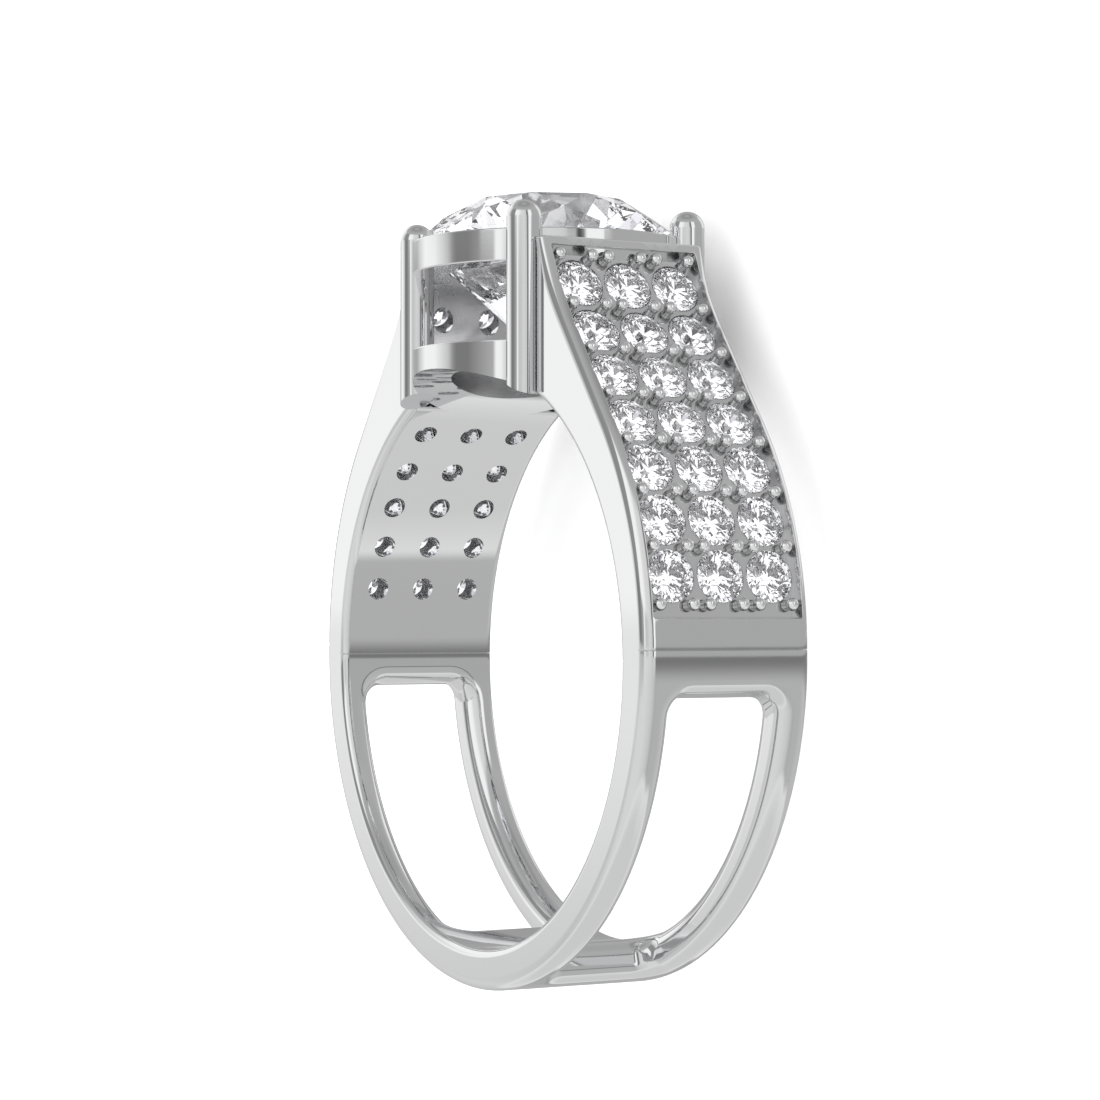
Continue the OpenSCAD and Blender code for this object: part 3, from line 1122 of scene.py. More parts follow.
@dataclass
class Basket(MetalPart):
    """The four prongs and two round gallery rails that hold the centre stone."""

    bore_r: float = 8.65
    rail_r: float = 4.172
    rail_hole_r: float = 3.0
    upper_low_y: float = 11.665
    upper_high_y: float = 12.634
    lower_high_y: float = 9.384
    rail_edge_r: float = 0.05
    seat_edge_r: float = 0.02
    prong_r: float = 0.52
    prong_x: float = 3.37
    prong_z: float = 2.797
    prong_top_y: float = 13.4
    # Heights of a prong's rings: far apart below its notch, close together along it
    plain_rings: tuple[float, float, float] = (8.6, 12.3, 0.5)
    notch_low_y: float = 12.36
    notch_rings: int = 20
    prong_points: int = 48
    dome_step: int = 6
    edge_points: int = 5
    seat_r: float = 4.02
    girdle_y: float = 12.6
    half_girdle: float = 0.1
    crown_slope: float = math.tan(CROWN)
    pavilion_slope: float = math.tan(PAVILION)
    round_points: int = 160
    sole_rings: int = 7
    # Painted shade on the faces that look inwards, where the normal's outward part is under the limit
    inner_painted_shade: float = 0.8
    inner_limit: float = -0.2
    work: Patchwork = field(default_factory=Patchwork)

    def bore_y(self, x: np.ndarray) -> np.ndarray:
        """The height of the finger hole's wall."""
        return np.sqrt(self.bore_r**2 - np.asarray(x) ** 2)

    def turn(self, profile: Profile) -> None:
        """Turns a closed profile about the stone's axis.

        Args:
            profile: radius, height and the normal's two parts for each point. Points under the
                finger hole's wall are raised to it.
        """
        angle = np.linspace(0, 2 * math.pi, self.round_points, endpoint=False)
        x, z = np.cos(angle), np.sin(angle)
        rows, normals, painted_light = [], [], []
        for radius, height, out, up in profile + profile[:1]:
            y = np.maximum(height, self.bore_y(radius * x))
            rows.append(np.column_stack([radius * x, y, radius * z]))
            # Rings that face inwards get painted shade
            painted_light.append(self.inner_painted_shade if out < self.inner_limit else 1.0)
            if up == ON_BORE:
                normals.append(np.column_stack([-radius * x, -y, 0 * x]) / self.bore_r)
            else:
                normals.append(np.column_stack([out * x, np.full(len(x), up), out * z]))
        self.work.strip(rows, normals, painted_light)

    def rounded(self, radius: float, height: float, start: float, end: float, edge: float) -> Profile:
        """Profile points round one edge, between two angles of its normal in degrees.

        Args:
            radius: the sharp edge's radius about the stone's axis.
            height: the sharp edge's height.
            start: first angle of the normal, up from outwards.
            end: last angle.
            edge: the roundness.

        Returns:
            The profile's points.
        """
        a, b = math.radians(start), math.radians(end)
        n1, n2 = unit(a), unit(b)
        centre = np.array([radius, height]) - edge * (n1 + n2) / (1 + n1 @ n2)
        return [(*(centre + edge * unit(t)), *unit(t)) for t in np.linspace(a, b, self.edge_points)]

    def make_rails(self) -> None:
        """Makes the upper rail with the stone's conical seat and the lower rail on the finger hole."""
        edge, slope = self.rail_edge_r, math.atan(self.pavilion_slope)
        seat_low = self.girdle_y - self.half_girdle
        cone_r = self.seat_r - (seat_low - self.upper_low_y) / self.pavilion_slope
        cone = (-math.sin(slope), math.cos(slope))
        upper = self.rounded(self.rail_r, self.upper_low_y, -90, 0, edge)
        upper += self.rounded(self.rail_r, self.upper_high_y, 0, 90, edge)
        upper += self.rounded(self.seat_r, self.upper_high_y, 90, 180, self.seat_edge_r)
        upper += [(self.seat_r, seat_low, -1, 0), (self.seat_r, seat_low, *cone)]
        upper += [(cone_r, self.upper_low_y, *cone), (cone_r, self.upper_low_y, 0, -1)]
        self.turn(upper)
        lower = [(self.rail_r, 0, 1, 0)]
        lower += self.rounded(self.rail_r, self.lower_high_y, 0, 90, edge)
        lower += self.rounded(self.rail_hole_r, self.lower_high_y, 90, 180, edge)
        lower += [(self.rail_hole_r, 0, -1, 0)]
        across = np.linspace(self.rail_hole_r, self.rail_r, self.sole_rings)
        lower += [(radius, 0, 0, ON_BORE) for radius in across]
        self.turn(lower)

    def make_prong(self, x: float, z: float) -> None:
        """Makes one prong with a domed top, notched where the stone's girdle sits in it.

        Args:
            x: its place across the finger.
            z: its place along the finger.
        """
        ring = unit(np.linspace(0, 2 * math.pi, self.prong_points, endpoint=False))
        dome_y = self.prong_top_y - self.prong_r
        centre = np.array([x, z])
        foot = centre + self.prong_r * ring
        rows = [np.column_stack([foot[:, 0], self.bore_y(foot[:, 0]), foot[:, 1]])]
        # Every level ring has the same normals, which the notch turns towards the stone
        level = self.lay(ring, 0.0)
        normals = [level]
        notched = np.linspace(self.notch_low_y, dome_y, self.notch_rings)
        for y in np.concatenate([np.arange(*self.plain_rings), notched]):
            rows.append(self.lay(foot, y))
            normals.append(level)
        for lift in np.radians(np.arange(self.dome_step, 90, self.dome_step)):
            side, rise = math.cos(lift) * ring, math.sin(lift)
            rows.append(self.lay(centre + self.prong_r * side, dome_y + self.prong_r * rise))
            normals.append(self.lay(side, rise))
        for row, normal in zip(rows, normals):
            self.notch(row, normal)
        self.work.strip(rows, normals)
        self.work.cap(rows[-1], np.array([0.0, 1.0, 0.0]))
        sole = np.array([-x, -self.bore_y(x), 0.0]) / self.bore_r
        self.work.cap(rows[0], sole)

    def lay(self, flat: np.ndarray, y: float) -> np.ndarray:
        """Flat points, across and along the finger, laid at a height."""
        return np.column_stack([flat[:, 0], np.full(len(flat), y), flat[:, 1]])

    def notch(self, row: np.ndarray, normal: np.ndarray) -> None:
        """Moves the points of a row that lie in the stone's seat out to the seat's surface.

        Args:
            row: the points, changed in place.
            normal: their normals, changed in place.
        """
        above = row[:, 1] - self.girdle_y
        slope = np.where(above > 0, self.crown_slope, self.pavilion_slope)
        limit = self.seat_r - np.maximum((np.abs(above) - self.half_girdle) / slope, 0)
        reach = np.hypot(row[:, 0], row[:, 2])
        held = reach < limit
        scale = (limit / reach)[held]
        row[held, 0] *= scale
        row[held, 2] *= scale
        inward = -row[held] * np.array([1.0, 0.0, 1.0])
        normal[held] = inward / np.linalg.norm(inward, axis=1, keepdims=True)

    def build(self) -> bpy.types.Object:
        """Makes the rails and prongs.

        Returns:
            The basket's object.
        """
        self.make_rails()
        for x in (-self.prong_x, self.prong_x):
            for z in (-self.prong_z, self.prong_z):
                self.make_prong(x, z)
        return self.work.build("basket")


@dataclass
class BeadGrains(MetalPart):
    """The bead grains and their posts, which hold the side stones."""

    outline: Outline
    pave: Pave
    ring_points: int = 16
    rings: int = 9
    # The last ring under a grain's flat top, in degrees
    top_lift: float = 78.0
    # How far a post runs into the recess's floor
    post_sink: float = 0.02
    # Painted shade and highlight up a grain's side, by the angle from its middle in degrees: darker round
    # its foot, a painted highlight near its top
    painted_light_lifts: tuple[float, ...] = (-30.0, 2.0, 16.0, 60.0)
    painted_light_values: tuple[float, ...] = (0.5, 0.6, 1.0, 1.22)
    # Painted streaks of shade down each post on every second point, and painted shade at the post's foot
    streak_painted_shade: float = 0.62
    post_foot_painted_shade: float = 0.85
    work: Patchwork = field(default_factory=Patchwork)

    def make(self, side: Side, s: float, z: float) -> None:
        """Makes one grain on its post.

        Args:
            side: which shoulder.
            s: its distance up the shoulder.
            z: its place along the finger.
        """
        line, pave = self.outline, self.pave
        u = np.array([line.on_shoulder(side, s)])
        centre = line.place(u, np.array([z]), pave.bead_depth)[0]
        out, along = (v[0] for v in line.frames(u))
        angle = np.linspace(0, 2 * math.pi, self.ring_points, endpoint=False)
        spoke = np.cos(angle)[:, None] * along + np.sin(angle)[:, None] * Z_AXIS
        rows, normals, painted_light = [], [], []
        lowest = -math.acos(pave.post_r / pave.bead_r)
        for lift in np.linspace(lowest, math.radians(self.top_lift), self.rings):
            normal = math.cos(lift) * spoke + math.sin(lift) * out
            rows.append(centre + pave.bead_r * normal)
            normals.append(normal)
            painted_light.append(float(np.interp(math.degrees(lift), self.painted_light_lifts, self.painted_light_values)))
        foot_depth = pave.recess_depth + self.post_sink - pave.bead_depth
        foot = centre + pave.post_r * spoke - foot_depth * out
        # Every second point round a post gets painted shade, which paints streaks down it
        painted_streaks = np.where(np.arange(self.ring_points) % 2, 1.0, self.streak_painted_shade)
        self.work.strip([foot, rows[0]], [spoke, spoke], [self.post_foot_painted_shade * painted_streaks, painted_streaks])
        self.work.strip(rows, normals, painted_light)
        self.work.cap(rows[-1], out)
        self.work.cap(foot, -out)

    def build(self) -> bpy.types.Object:
        """Makes all grains.

        Returns:
            The grains' object.
        """
        for side in Side:
            for s, z in self.pave.beads():
                self.make(side, s, z)
        return self.work.build("bead_grains")


# Stones


@dataclass(frozen=True)
class Brilliant:
    """The centre stone: a round brilliant of 57 facets with a scalloped girdle, cut from a round blank."""

    girdle_y: float
    name: str = "centre_brilliant"
    diameter: float = 8.0
    table_share: float = 0.55
    crown: float = CROWN
    pavilion: float = PAVILION
    girdle_share: float = 0.02
    sides: int = 96
    # Where the facets' points lie, as shares of the radius
    star_reach: float = 1.05
    lower_reach: float = 0.24

    def facets(self) -> list[np.ndarray]:
        """Works out the facets, with the table at +Z.

        Returns:
            Three points of each facet.
        """
        r = self.diameter / 2
        table_r, half = r * self.table_share, self.diameter * self.girdle_share / 2
        star_r, low_r = (table_r + r) / 2 * self.star_reach, r * self.lower_reach
        step = math.pi / 8
        table_z = half + (r - table_r) * math.tan(self.crown)
        star_z = table_z - (star_r * math.cos(step) - table_r) * math.tan(self.crown)
        low_z = -half - (r - low_r * math.cos(step)) * math.tan(self.pavilion)
        tip = np.array([0, 0, -half - r * math.tan(self.pavilion)])

        def at(radius: float, z: float, turns: int) -> np.ndarray:
            """A point at a radius and height, turned by sixteenths of a circle."""
            return np.array([*(radius * unit(turns * step)), z])

        planes = [np.array([at(table_r, table_z, k) for k in (0, 4, 8)])]
        for k in range(0, 16, 2):
            star = at(star_r, star_z, k + 1)
            planes += [
                np.array([at(table_r, table_z, k + 2), at(table_r, table_z, k), star]),
                np.array([at(table_r, table_z, k), at(star_r, star_z, k - 1), star]),
                np.array([star, at(r, half, k), at(r, half, k + 1)]),
                np.array([star, at(r, half, k + 1), at(r, half, k + 2)]),
                np.array([at(low_r, low_z, k + 1), at(r, -half, k + 1), at(r, -half, k)]),
                np.array([at(low_r, low_z, k + 1), at(r, -half, k + 2), at(r, -half, k + 1)]),
                np.array([tip, at(low_r, low_z, k + 1), at(low_r, low_z, k - 1)]),
            ]
        return planes

    def build(self) -> bpy.types.Object:
        """Cuts the stone, with its table towards +Y.

        Returns:
            The stone's object.
        """
        work = bmesh.new()
        bmesh.ops.create_cone(
            work, cap_ends=True, segments=self.sides, radius1=self.diameter / 2,
            radius2=self.diameter / 2, depth=2 * self.diameter,
        )
        for points in self.facets():
            normal = np.cross(points[1] - points[0], points[2] - points[0])
            if normal @ points.mean(0) < 0:
                normal = -normal
            everything = work.verts[:] + work.edges[:] + work.faces[:]
            cut = bmesh.ops.bisect_plane(
                work, geom=everything, dist=TINY, plane_co=points[0], plane_no=normal, clear_outer=True
            )
            rim = [e for e in cut["geom_cut"] if isinstance(e, bmesh.types.BMEdge)]
            bmesh.ops.edgenet_fill(work, edges=rim)
        bmesh.ops.remove_doubles(work, verts=work.verts[:], dist=1e-5)
        bmesh.ops.recalc_face_normals(work, faces=work.faces[:])
        turn = Matrix.Rotation(-math.pi / 2, 4, "X")
        move = Matrix.Scale(MM, 4) @ Matrix.Translation((0, self.girdle_y, 0)) @ turn
        bmesh.ops.transform(work, matrix=move, verts=work.verts[:])
        mesh = bpy.data.meshes.new(self.name)
        work.to_mesh(mesh)
        work.free()
        thing = bpy.data.objects.new(self.name, mesh)
        bpy.context.scene.collection.objects.link(thing)
        return thing

    def dress(self, piece: bpy.types.Object, gem: bpy.types.Material) -> None:
        """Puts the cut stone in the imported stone's place and gives it its finish.

        Args:
            piece: the cut stone.
            gem: its material.
        """
        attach(piece, "root")
        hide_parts("centre_stone")
        coat(piece, gem)


@dataclass(frozen=True)
class SideStones:
    """The side stones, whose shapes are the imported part's own."""

    prefix: str = "side_stone"

    def find(self, nodes: dict[str, bpy.types.Object]) -> list[bpy.types.Object]:
        """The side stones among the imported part's nodes."""
        return [node for name, node in nodes.items() if name.startswith(self.prefix)]

    def dress(self, stone: bpy.types.Object, gem: bpy.types.Material) -> None:
        """Gives one stone its finish."""
        coat(stone, gem)


# Finishes


Socket = bpy.types.NodeSocket


@dataclass(frozen=True)
class NodeBoard:
    """A tree that shader nodes are laid out in."""

    tree: bpy.types.NodeTree

    def add(
        self, kind: str, label: str, inputs: dict[str | int, object] | None = None, **settings: object
    ) -> bpy.types.Node:
        """Adds a shader node.

        Args:
            kind: its type, without the word ShaderNode.
            label: what it is for.
            inputs: by name or number, the socket that feeds each input, or its value.
            settings: properties to set on it.

        Returns:
            The node.
        """
        made = self.tree.nodes.new("ShaderNode" + kind)
        made.label = label
        for name, value in settings.items():
            setattr(made, name, value)
        for name, value in (inputs or {}).items():
            self.feed(made.inputs[name], value)
        return made

    def feed(self, socket: Socket, value: object) -> None:
        """Feeds an input from another node's socket, or sets its value.

        Args:
            socket: the input.
            value: the socket that feeds it, or its value.
        """
        if isinstance(value, Socket):
            self.tree.links.new(value, socket)
        else:
            socket.default_value = value

    def maths(self, operation: str, *values: object) -> Socket:
        """Adds a Math node fed by sockets or numbers, and gives its output."""
        return self.add("Math", operation.lower(), dict(enumerate(values)), operation=operation).outputs[0]

    def mix(
        self, label: str, share: object, first: object, second: object, blend: str = "MIX"
    ) -> Socket:
        """Adds a Mix node of colours, and gives its output.

        Args:
            label: what it is for.
            share: how much of the second colour.
            first: the first colour.
            second: the second colour.
            blend: how they are mixed.

        Returns:
            The mixed colour.
        """
        inputs = {"Factor": share, "A": first, "B": second}
        return self.add("Mix", label, inputs, data_type="RGBA", blend_type=blend).outputs["Result"]

    def noise(self, label: str, place: Socket, scale: float | Socket, detail: float = 2.0) -> Socket:
        """Adds a Noise Texture, and gives its value's output."""
        inputs = {"Vector": place, "Scale": scale, "Detail": detail}
        return self.add("TexNoise", label, inputs, noise_dimensions="3D").outputs["Fac"]

    def spread(self, label: str, value: Socket, low: float, high: float | Socket) -> Socket:
        """Spreads a value from 0 to 1 over another range, and gives the output."""
        inputs = {"Value": value, "To Min": low, "To Max": high}
        return self.add("MapRange", label, inputs).outputs["Result"]

    def ramp(
        self, label: str, share: Socket,
        stops: list[tuple[float, tuple[float, float, float]]], steps: bool = False,
    ) -> Socket:
        """Adds a colour ramp.

        Args:
            label: what it is for.
            share: its place on the ramp.
            stops: places from 0 to 1 and their colours.
            steps: whether the colours change in steps.

        Returns:
            The colour.
        """
        made = self.add("ValToRGB", label, {0: share})
        made.color_ramp.interpolation = "CONSTANT" if steps else "LINEAR"
        elements = made.color_ramp.elements
        elements.remove(elements[-1])
        for k, (place, colour) in enumerate(stops):
            stop = elements[0] if k == 0 else elements.new(place)
            stop.position = place
            stop.color = (*colour, 1.0)
        return made.outputs["Color"]


def new_material(name: str) -> tuple[bpy.types.Material, NodeBoard, bpy.types.Node]:
    """Makes a material with a plain Principled shader.

    Args:
        name: the material's name.

    Returns:
        The material, its board and its shader.
    """
    made = bpy.data.materials.new(name)
    made.use_nodes = True
    return made, NodeBoard(made.node_tree), made.node_tree.nodes["Principled BSDF"]


# Labels of the numbers that a node group takes, and what each is where nothing is set
Knobs = tuple[tuple[str, float], ...]


def new_group(
    name: str, knobs: Knobs, results: tuple[str, ...]
) -> tuple[NodeBoard, bpy.types.Node, bpy.types.Node]:
    """Makes a node group of numbers.

    Args:
        name: the group's name.
        knobs: its inputs.
        results: the labels of its outputs.

    Returns:
        The group's board, and the nodes of its inputs and of its outputs.
    """
    group = bpy.data.node_groups.new(name, "ShaderNodeTree")
    for label, value in knobs:
        socket = group.interface.new_socket(label, in_out="INPUT", socket_type="NodeSocketFloat")
        socket.default_value = value
    for label in results:
        group.interface.new_socket(label, in_out="OUTPUT", socket_type="NodeSocketFloat")
    return NodeBoard(group), group.nodes.new("NodeGroupInput"), group.nodes.new("NodeGroupOutput")


@dataclass(frozen=True)
class BuffedSurface:
    """The fine marks that a buffing wheel leaves, as a node group for any polished metal."""

    name: str = "buffed_surface"
    # The soft waves and the hairlines, as noise scales, and how far hairlines stretch
    wave_scale: float = 260.0
    line_scale: float = 9000.0
    line_detail: float = 3.0
    stretch: tuple[float, float, float] = (1.0, 1.0, 0.12)
    wave_height: float = 2.0
    tones: tuple[float, float] = (0.985, 1.0)
    knobs: Knobs = (("Roughness", 0.04), ("Spread", 0.02), ("Marks", 0.5))
    results: tuple[str, ...] = ("Roughness", "Height", "Tone")

    def group(self) -> bpy.types.NodeTree:
        """Builds the node group, once.

        Returns:
            The group, which puts out roughness, height and tone.
        """
        if self.name in bpy.data.node_groups:
            return bpy.data.node_groups[self.name]
        board, start, end = new_group(self.name, self.knobs, self.results)
        place = board.add("TexCoord", "Place on the ring").outputs["Object"]
        waves = board.noise("Soft waves of the polish", place, self.wave_scale)
        along = board.add("Mapping", "Along the finger", {"Vector": place, "Scale": self.stretch})
        lines = board.noise("Hairlines", along.outputs["Vector"], self.line_scale, self.line_detail)
        knobs = start.outputs
        rough = board.maths("MULTIPLY_ADD", waves, knobs["Spread"], knobs["Roughness"])
        marks = board.maths("MULTIPLY", lines, knobs["Marks"])
        board.feed(end.inputs["Roughness"], rough)
        board.feed(end.inputs["Height"], board.maths("MULTIPLY_ADD", waves, self.wave_height, marks))
        board.feed(end.inputs["Tone"], board.spread("Slight unevenness of tone", lines, *self.tones))
        return board.tree


@dataclass(frozen=True)
class PolishHaze:
    """The faint haze on a stone's polished facets, as a node group for the stones of either size."""

    name: str = "polish_haze"
    knobs: Knobs = (("Scale", 700.0), ("Most", 0.004))

    def group(self) -> bpy.types.NodeTree:
        """Builds the node group, once.

        Returns:
            The group, which puts out roughness.
        """
        if self.name in bpy.data.node_groups:
            return bpy.data.node_groups[self.name]
        board, start, end = new_group(self.name, self.knobs, ("Roughness",))
        place = board.add("TexCoord", "Place on the stone").outputs["Object"]
        haze = board.noise("Faint polish haze", place, start.outputs["Scale"])
        rough = board.spread("Haze to roughness", haze, 0.0, start.outputs["Most"])
        board.feed(end.inputs["Roughness"], rough)
        return board.tree


@dataclass(frozen=True)
class PolishedGold:
    """Polished white gold."""

    name: str = "polished_white_gold"
    colour: tuple[float, float, float, float] = (0.745, 0.747, 0.752, 1.0)
    roughness: float = 0.035
    spread: float = 0.02
    marks: float = 0.35
    # Height of the marks in metres
    height: float = 0.0000003
    # How much rougher the metal is where shade is painted
    shade_roughness: float = 0.8

    def material(self) -> bpy.types.Material:
        """Builds the finish.

        Returns:
            The material.
        """
        made, board, shader = new_material(self.name)
        knobs = {"Roughness": self.roughness, "Spread": self.spread, "Marks": self.marks}
        buffed = board.add("Group", "Buffed surface", knobs, node_tree=BuffedSurface().group())
        # The layer of painted light darkens the metal's colour where shade is painted, lightens it for
        # painted highlights, and makes it rougher where shade is painted
        reach = board.add("Attribute", "Painted shade and highlight", attribute_name=PAINTED_LIGHT).outputs["Fac"]
        tone = board.maths("MULTIPLY", buffed.outputs["Tone"], reach)
        shaded_share = board.add("Math", "Share of painted shade", {0: 1.0, 1: reach}, operation="SUBTRACT", use_clamp=True)
        rough = board.maths("MULTIPLY_ADD", shaded_share.outputs[0], self.shade_roughness, buffed.outputs["Roughness"])
        marks = board.add(
            "Bump", "Polishing marks", {"Distance": self.height, "Height": buffed.outputs["Height"]}
        )
        shader.inputs["Metallic"].default_value = 1.0
        colour = board.mix("Alloy colour", 1.0, self.colour, tone, blend="MULTIPLY")
        board.feed(shader.inputs["Base Color"], colour)
        board.feed(shader.inputs["Roughness"], rough)
        board.feed(shader.inputs["Normal"], marks.outputs["Normal"])
        return made


@dataclass(frozen=True)
class CutGem:
    """A clear, colourless cut stone."""

    name: str
    colour: tuple[float, float, float, float] = (0.99, 0.99, 1.0, 1.0)
    index: float = 2.42
    haze_scale: float = 700.0
    most_haze: float = 0.004

    def material(self) -> bpy.types.Material:
        """Builds the finish.

        Returns:
            The material.
        """
        made, board, shader = new_material(self.name)
        shader.inputs["Metallic"].default_value = 0.0
        shader.inputs["Transmission Weight"].default_value = 1.0
        shader.inputs["IOR"].default_value = self.index
        shader.inputs["Base Color"].default_value = self.colour
        knobs = {"Scale": self.haze_scale, "Most": self.most_haze}
        haze = board.add("Group", "Polish haze", knobs, node_tree=PolishHaze().group())
        board.feed(shader.inputs["Roughness"], haze.outputs["Roughness"])
        return made


@dataclass(frozen=True)
class PaperFloor:
    """Pale matt studio paper."""

    name: str = "pale_floor"
    light: tuple[float, float, float, float] = (0.9, 0.9, 0.9, 1.0)
    dark: tuple[float, float, float, float] = (0.88, 0.88, 0.88, 1.0)
    grain_scale: float = 900.0
    roughness: float = 0.9

    def material(self) -> bpy.types.Material:
        """Builds the finish.

        Returns:
            The material.
        """
        made, board, shader = new_material(self.name)
        shader.inputs["Roughness"].default_value = self.roughness
        shader.inputs["Specular IOR Level"].default_value = 0.0
        place = board.add("TexCoord", "Place on the floor").outputs["Object"]
        grain = board.noise("Faint paper grain", place, self.grain_scale)
        board.feed(shader.inputs["Base Color"], board.mix("Paper white", grain, self.dark, self.light))
        return made


# Studio


# Places and the tones there, from 0 to 255
Tones = tuple[tuple[float, float], ...]


@dataclass(frozen=True)
class Studio:
    """The pale floor, the soft light and the panels that the polished metal mirrors."""

    floor_z: float = -4.172
    floor_size: float = 900.0
    # Directions across the picture: towards the camera and to its right, as X and Z parts
    towards: tuple[float, float] = (0.8675, 0.4975)
    right: tuple[float, float] = (0.4975, -0.8675)
    # How much light the metal mirrors, by which each tone gives the panel's own brightness
    reflectance: float = 0.745
    # The panels' edges, as turns about the head's axis in degrees from the camera, each with the
    # tone from 0 to 255 that polished metal takes from the panel there
    level: Tones = (
        (-180, 160), (-148, 160), (-128, 240), (-112, 240), (-94, 195), (-88, 140), (-84, 120),
        (-72, 120), (-47, 170), (-46, 240), (-41, 240), (-37, 210), (-28, 190), (0, 210), (21, 195),
        (23, 45), (29, 45), (30, 240), (45, 240), (46, 165), (180, 165),
    )
    skyline: Tones = (
        (-180, 165), (-142, 180), (-134, 230), (-98, 220), (-90, 190), (-54, 180), (-47, 215),
        (12, 205), (18, 190), (30, 210), (41, 190), (46, 115), (110, 120), (180, 150),
    )
    high: Tones = (
        (-180, 150), (-164, 165), (-158, 240), (-128, 240), (-100, 190), (-93, 135), (-62, 140),
        (-58, 240), (-36, 240), (-20, 215), (12, 205), (16, 120), (25, 115), (29, 240), (49, 240),
        (54, 165), (114, 170), (120, 225), (146, 225), (154, 160), (180, 150),
    )
    low: Tones = (
        (-180, 170), (-150, 195), (-130, 205), (-105, 190), (-75, 210), (-30, 210), (10, 200),
        (30, 190), (48, 170), (70, 175), (105, 185), (140, 180), (162, 150), (180, 160),
    )
    # Tones over and under it all, by the sine of the height
    above: Tones = (
        (-1.0, 200), (-0.8, 200), (-0.6, 220), (0.7, 170), (0.87, 160), (0.96, 140), (1.0, 165),
    )
    # Heights in degrees between which one set of tones fades into the next
    skyline_fade: tuple[float, float] = (0.3, -0.4)
    low_fade: tuple[float, float] = (-1.0, -8.0)
    high_fade: tuple[float, float] = (6.0, 9.0)
    above_fade: tuple[float, float] = (36.0, 46.0)
    below_fade: tuple[float, float] = (-35.0, -40.0)
    # The small lamps and flags that light the stones: shares of all and their colours
    sparkle: tuple[tuple[float, tuple[float, float, float]], ...] = (
        (0.0, (0.11, 0.11, 0.12)), (0.12, (0.44, 0.44, 0.48)), (0.23, (0.88, 0.88, 0.94)),
        (0.34, (1.4, 1.4, 1.42)),
    )
    sparkle_scale: float = 0.95
    # How much more often the upper half is bright
    sparkle_lift: float = 0.14
    sky: float = 1.9
    # The broad soft lamp, in metres and watts
    lamp_at: tuple[float, float, float] = (-0.05, 0.09, 0.12)
    lamp_size: float = 0.2
    lamp_power: float = 0.012

    def light_of(self, tone: float) -> float:
        """How bright a panel is that the metal shows in a tone of a picture's usual curve.

        Args:
            tone: the metal's tone, from 0 to 255.

        Returns:
            The panel's linear brightness.
        """
        return ((tone / 255 + 0.055) / 1.055) ** 2.4 / self.reflectance

    def greys(
        self, board: NodeBoard, share: Socket, tones: Tones, low: float, high: float,
        label: str,
    ) -> Socket:
        """Adds a ramp of greys.

        Args:
            board: where to.
            share: its place on the ramp.
            tones: places and their tones.
            low: the place at the ramp's start.
            high: the place at its end.
            label: the ramp's label.

        Returns:
            The grey.
        """
        stops = [((place - low) / (high - low), (self.light_of(tone),) * 3) for place, tone in tones]
        return board.ramp(label, share, stops)

    def fade(
        self, board: NodeBoard, height: Socket, span: tuple[float, float],
        near: Socket, far: Socket,
    ) -> Socket:
        """Fades from one tone to another between two heights.

        Args:
            board: where to.
            height: the sine of the height.
            span: the heights in degrees.
            near: the tone up to the first.
            far: the tone past the second.

        Returns:
            The mixed tone.
        """
        first, second = (math.sin(math.radians(angle)) for angle in span)
        falls = second < first
        inputs = {
            "Value": height,
            "From Min": min(first, second),
            "From Max": max(first, second),
            "To Min": 1.0 if falls else 0.0,
            "To Max": 0.0 if falls else 1.0,
        }
        share = board.add("MapRange", "Fade", inputs, interpolation_type="SMOOTHSTEP").outputs["Result"]
        return board.mix("Near to far", share, near, far)

    def panels(self, board: NodeBoard, direction: Socket) -> Socket:
        """Adds the panels that the metal mirrors.

        Args:
            board: where to.
            direction: the way that a ray leaves in.

        Returns:
            The panels' brightness.
        """
        x, y, z = board.add("SeparateXYZ", "Direction's parts", {0: direction}).outputs
        front, side = (
            board.maths("ADD", board.maths("MULTIPLY", x, way[0]), board.maths("MULTIPLY", z, way[1]))
            for way in (self.towards, self.right)
        )
        turn = board.maths("ARCTAN2", side, front)
        share = board.maths("MULTIPLY_ADD", turn, 1 / (2 * math.pi), 0.5)
        tone = self.greys(board, share, self.level, -180, 180, "Panels level with the head")
        for fade, tones, label in (
            (self.skyline_fade, self.skyline, "Edge of the table"),
            (self.low_fade, self.low, "Panels under the head"),
            (self.high_fade, self.high, "Panels over the head"),
        ):
            tone = self.fade(board, y, fade, tone, self.greys(board, share, tones, -180, 180, label))
        height = board.maths("MULTIPLY_ADD", y, 0.5, 0.5)
        above = self.greys(board, height, self.above, -1, 1, "Ceiling and underside")
        for fade in (self.above_fade, self.below_fade):
            tone = self.fade(board, y, fade, tone, above)
        return tone

    def sparkles(self, board: NodeBoard, direction: Socket) -> Socket:
        """Adds the small lamps and flags that are seen through the stones.

        Args:
            board: where to.
            direction: the way that a ray leaves in.

        Returns:
            Their colour.
        """
        inputs = {"Vector": direction, "Scale": self.sparkle_scale}
        cells = board.add("TexVoronoi", "Small lamps and flags", inputs, feature="F1")
        pick = board.add("SeparateColor", "One number a cell", {0: cells.outputs["Color"]})
        y = board.add("SeparateXYZ", "Height", {0: direction}).outputs[1]
        lifted = board.maths("MULTIPLY_ADD", y, self.sparkle_lift, pick.outputs[0])
        return board.ramp("Sparkle", lifted, list(self.sparkle), steps=True)

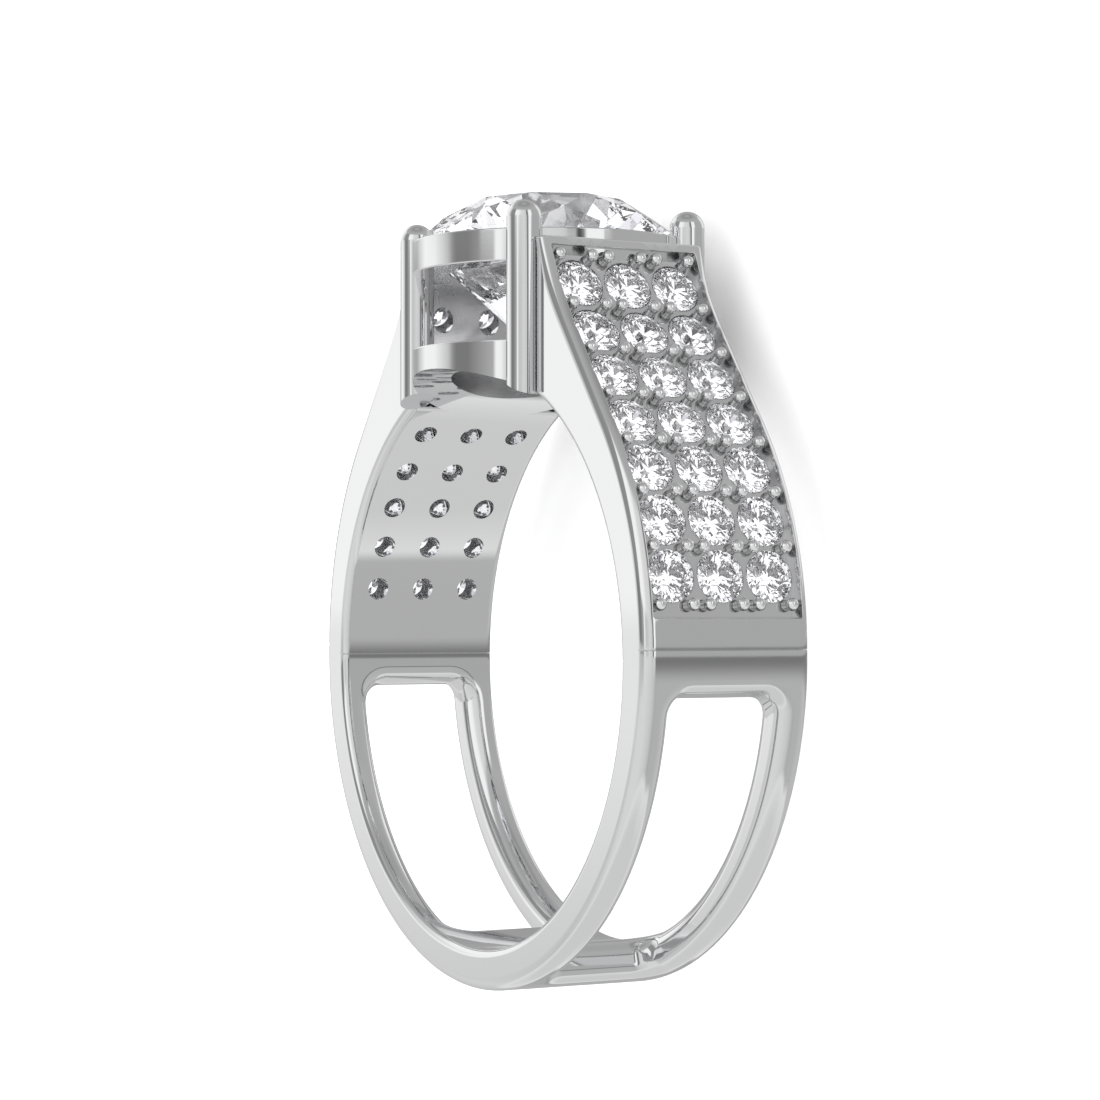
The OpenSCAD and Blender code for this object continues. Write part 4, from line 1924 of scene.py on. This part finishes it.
    def world(self) -> None:
        """Lights the scene softly, with panels seen only in mirrored and refracted light."""
        world = bpy.data.worlds.new("studio")
        bpy.context.scene.world = world
        world.use_nodes = True
        world.node_tree.nodes.clear()
        board = NodeBoard(world.node_tree)
        direction = board.add("TexCoord", "Direction").outputs["Generated"]
        ray = board.add("LightPath", "Kind of ray").outputs
        through = ray["Is Transmission Ray"]
        mirrored, refracted = self.panels(board, direction), self.sparkles(board, direction)
        shown = board.mix("Refracted or mirrored", through, mirrored, refracted)
        shiny = board.maths("MAXIMUM", ray["Is Glossy Ray"], through)
        seen = board.mix("Soft sky for the rest", shiny, (self.sky, self.sky, self.sky, 1.0), shown)
        back = board.add("Background", "Studio", {"Color": seen})
        board.add("OutputWorld", "World", {"Surface": back.outputs["Background"]})

    def floor(self) -> bpy.types.Object:
        """Lays the pale floor.

        Returns:
            The floor's object.
        """
        half, z = self.floor_size / 2 * MM, self.floor_z * MM
        mesh = bpy.data.meshes.new("floor")
        corners = [(-half, -half, z), (half, -half, z), (half, half, z), (-half, half, z)]
        mesh.from_pydata(corners, [], [(0, 1, 2, 3)])
        mesh.materials.append(PaperFloor().material())
        return self.put_unseen("floor", mesh)

    def lamp(self) -> None:
        """Hangs one broad soft light over the ring, which no metal mirrors."""
        light = bpy.data.lights.new("soft_light", "AREA")
        light.shape = "DISK"
        light.size = self.lamp_size
        light.energy = self.lamp_power
        lamp = self.put_unseen("soft_light", light)
        lamp.location = self.lamp_at
        lamp.rotation_euler = (-Vector(self.lamp_at)).to_track_quat("-Z", "Y").to_euler()

    def put_unseen(self, name: str, data: bpy.types.ID) -> bpy.types.Object:
        """Puts a thing in the scene that neither metal mirrors nor stones show.

        Args:
            name: its name.
            data: its mesh or light.

        Returns:
            Its object.
        """
        thing = bpy.data.objects.new(name, data)
        thing.visible_glossy = False
        thing.visible_transmission = False
        bpy.context.scene.collection.objects.link(thing)
        return thing


@dataclass(frozen=True)
class Viewpoint:
    """The photograph's camera, in metres, with its lens and sensor in millimetres."""

    place: tuple[float, float, float] = (0.08102, 0.001365, 0.04646)
    towards: tuple[float, float, float] = (-0.8675, 0.0, -0.4975)
    lens: float = 100.52
    sensor: float = 36.0
    shift_y: float = 0.0584
    clip: tuple[float, float] = (0.005, 5.0)

    def build(self) -> None:
        """Sets up the camera, with the ring's head upwards in the picture."""
        data = bpy.data.cameras.new("camera")
        data.lens = self.lens
        data.sensor_width = self.sensor
        data.shift_y = self.shift_y
        data.clip_start, data.clip_end = self.clip
        camera = bpy.data.objects.new("camera", data)
        away = -Vector(self.towards).normalized()
        across = Vector((0, 1, 0)).cross(away).normalized()
        turn = Matrix((across, away.cross(across), away)).transposed().to_4x4()
        camera.matrix_world = Matrix.Translation(self.place) @ turn
        bpy.context.scene.collection.objects.link(camera)
        bpy.context.scene.camera = camera


def main() -> None:
    """Builds the ring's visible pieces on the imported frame, and the studio round them."""
    logging.basicConfig(level=logging.INFO, format="%(message)s")
    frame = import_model()
    gold = PolishedGold().material()
    centre_gem = CutGem("centre_stone_gem").material()
    side_gem = CutGem("side_stone_gem").material()
    outline, pave, basket = Outline(), Pave(), Basket()
    parts = (
        (Band(outline, pave), gold),
        (basket, gold),
        (BeadGrains(outline, pave), gold),
        (Brilliant(basket.girdle_y), centre_gem),
    )
    pieces = []
    for part, finish in parts:
        piece = part.build()
        part.dress(piece, finish)
        pieces.append(piece)
    side_stones = SideStones()
    for stone in side_stones.find(frame["nodes"]):
        side_stones.dress(stone, side_gem)
        pieces.append(stone)
    for piece in pieces:
        log.info("%s: %d faces", piece.name, len(piece.data.polygons))
    studio = Studio()
    studio.world()
    studio.lamp()
    studio.floor()
    Viewpoint().build()
    scene = bpy.context.scene
    scene.view_settings.view_transform = "Standard"
    # Light passes many facets inside a stone before it comes out
    scene.cycles.max_bounces = 28
    scene.cycles.glossy_bounces = 24
    scene.cycles.transmission_bounces = 24


if __name__ == "__main__":
    main()
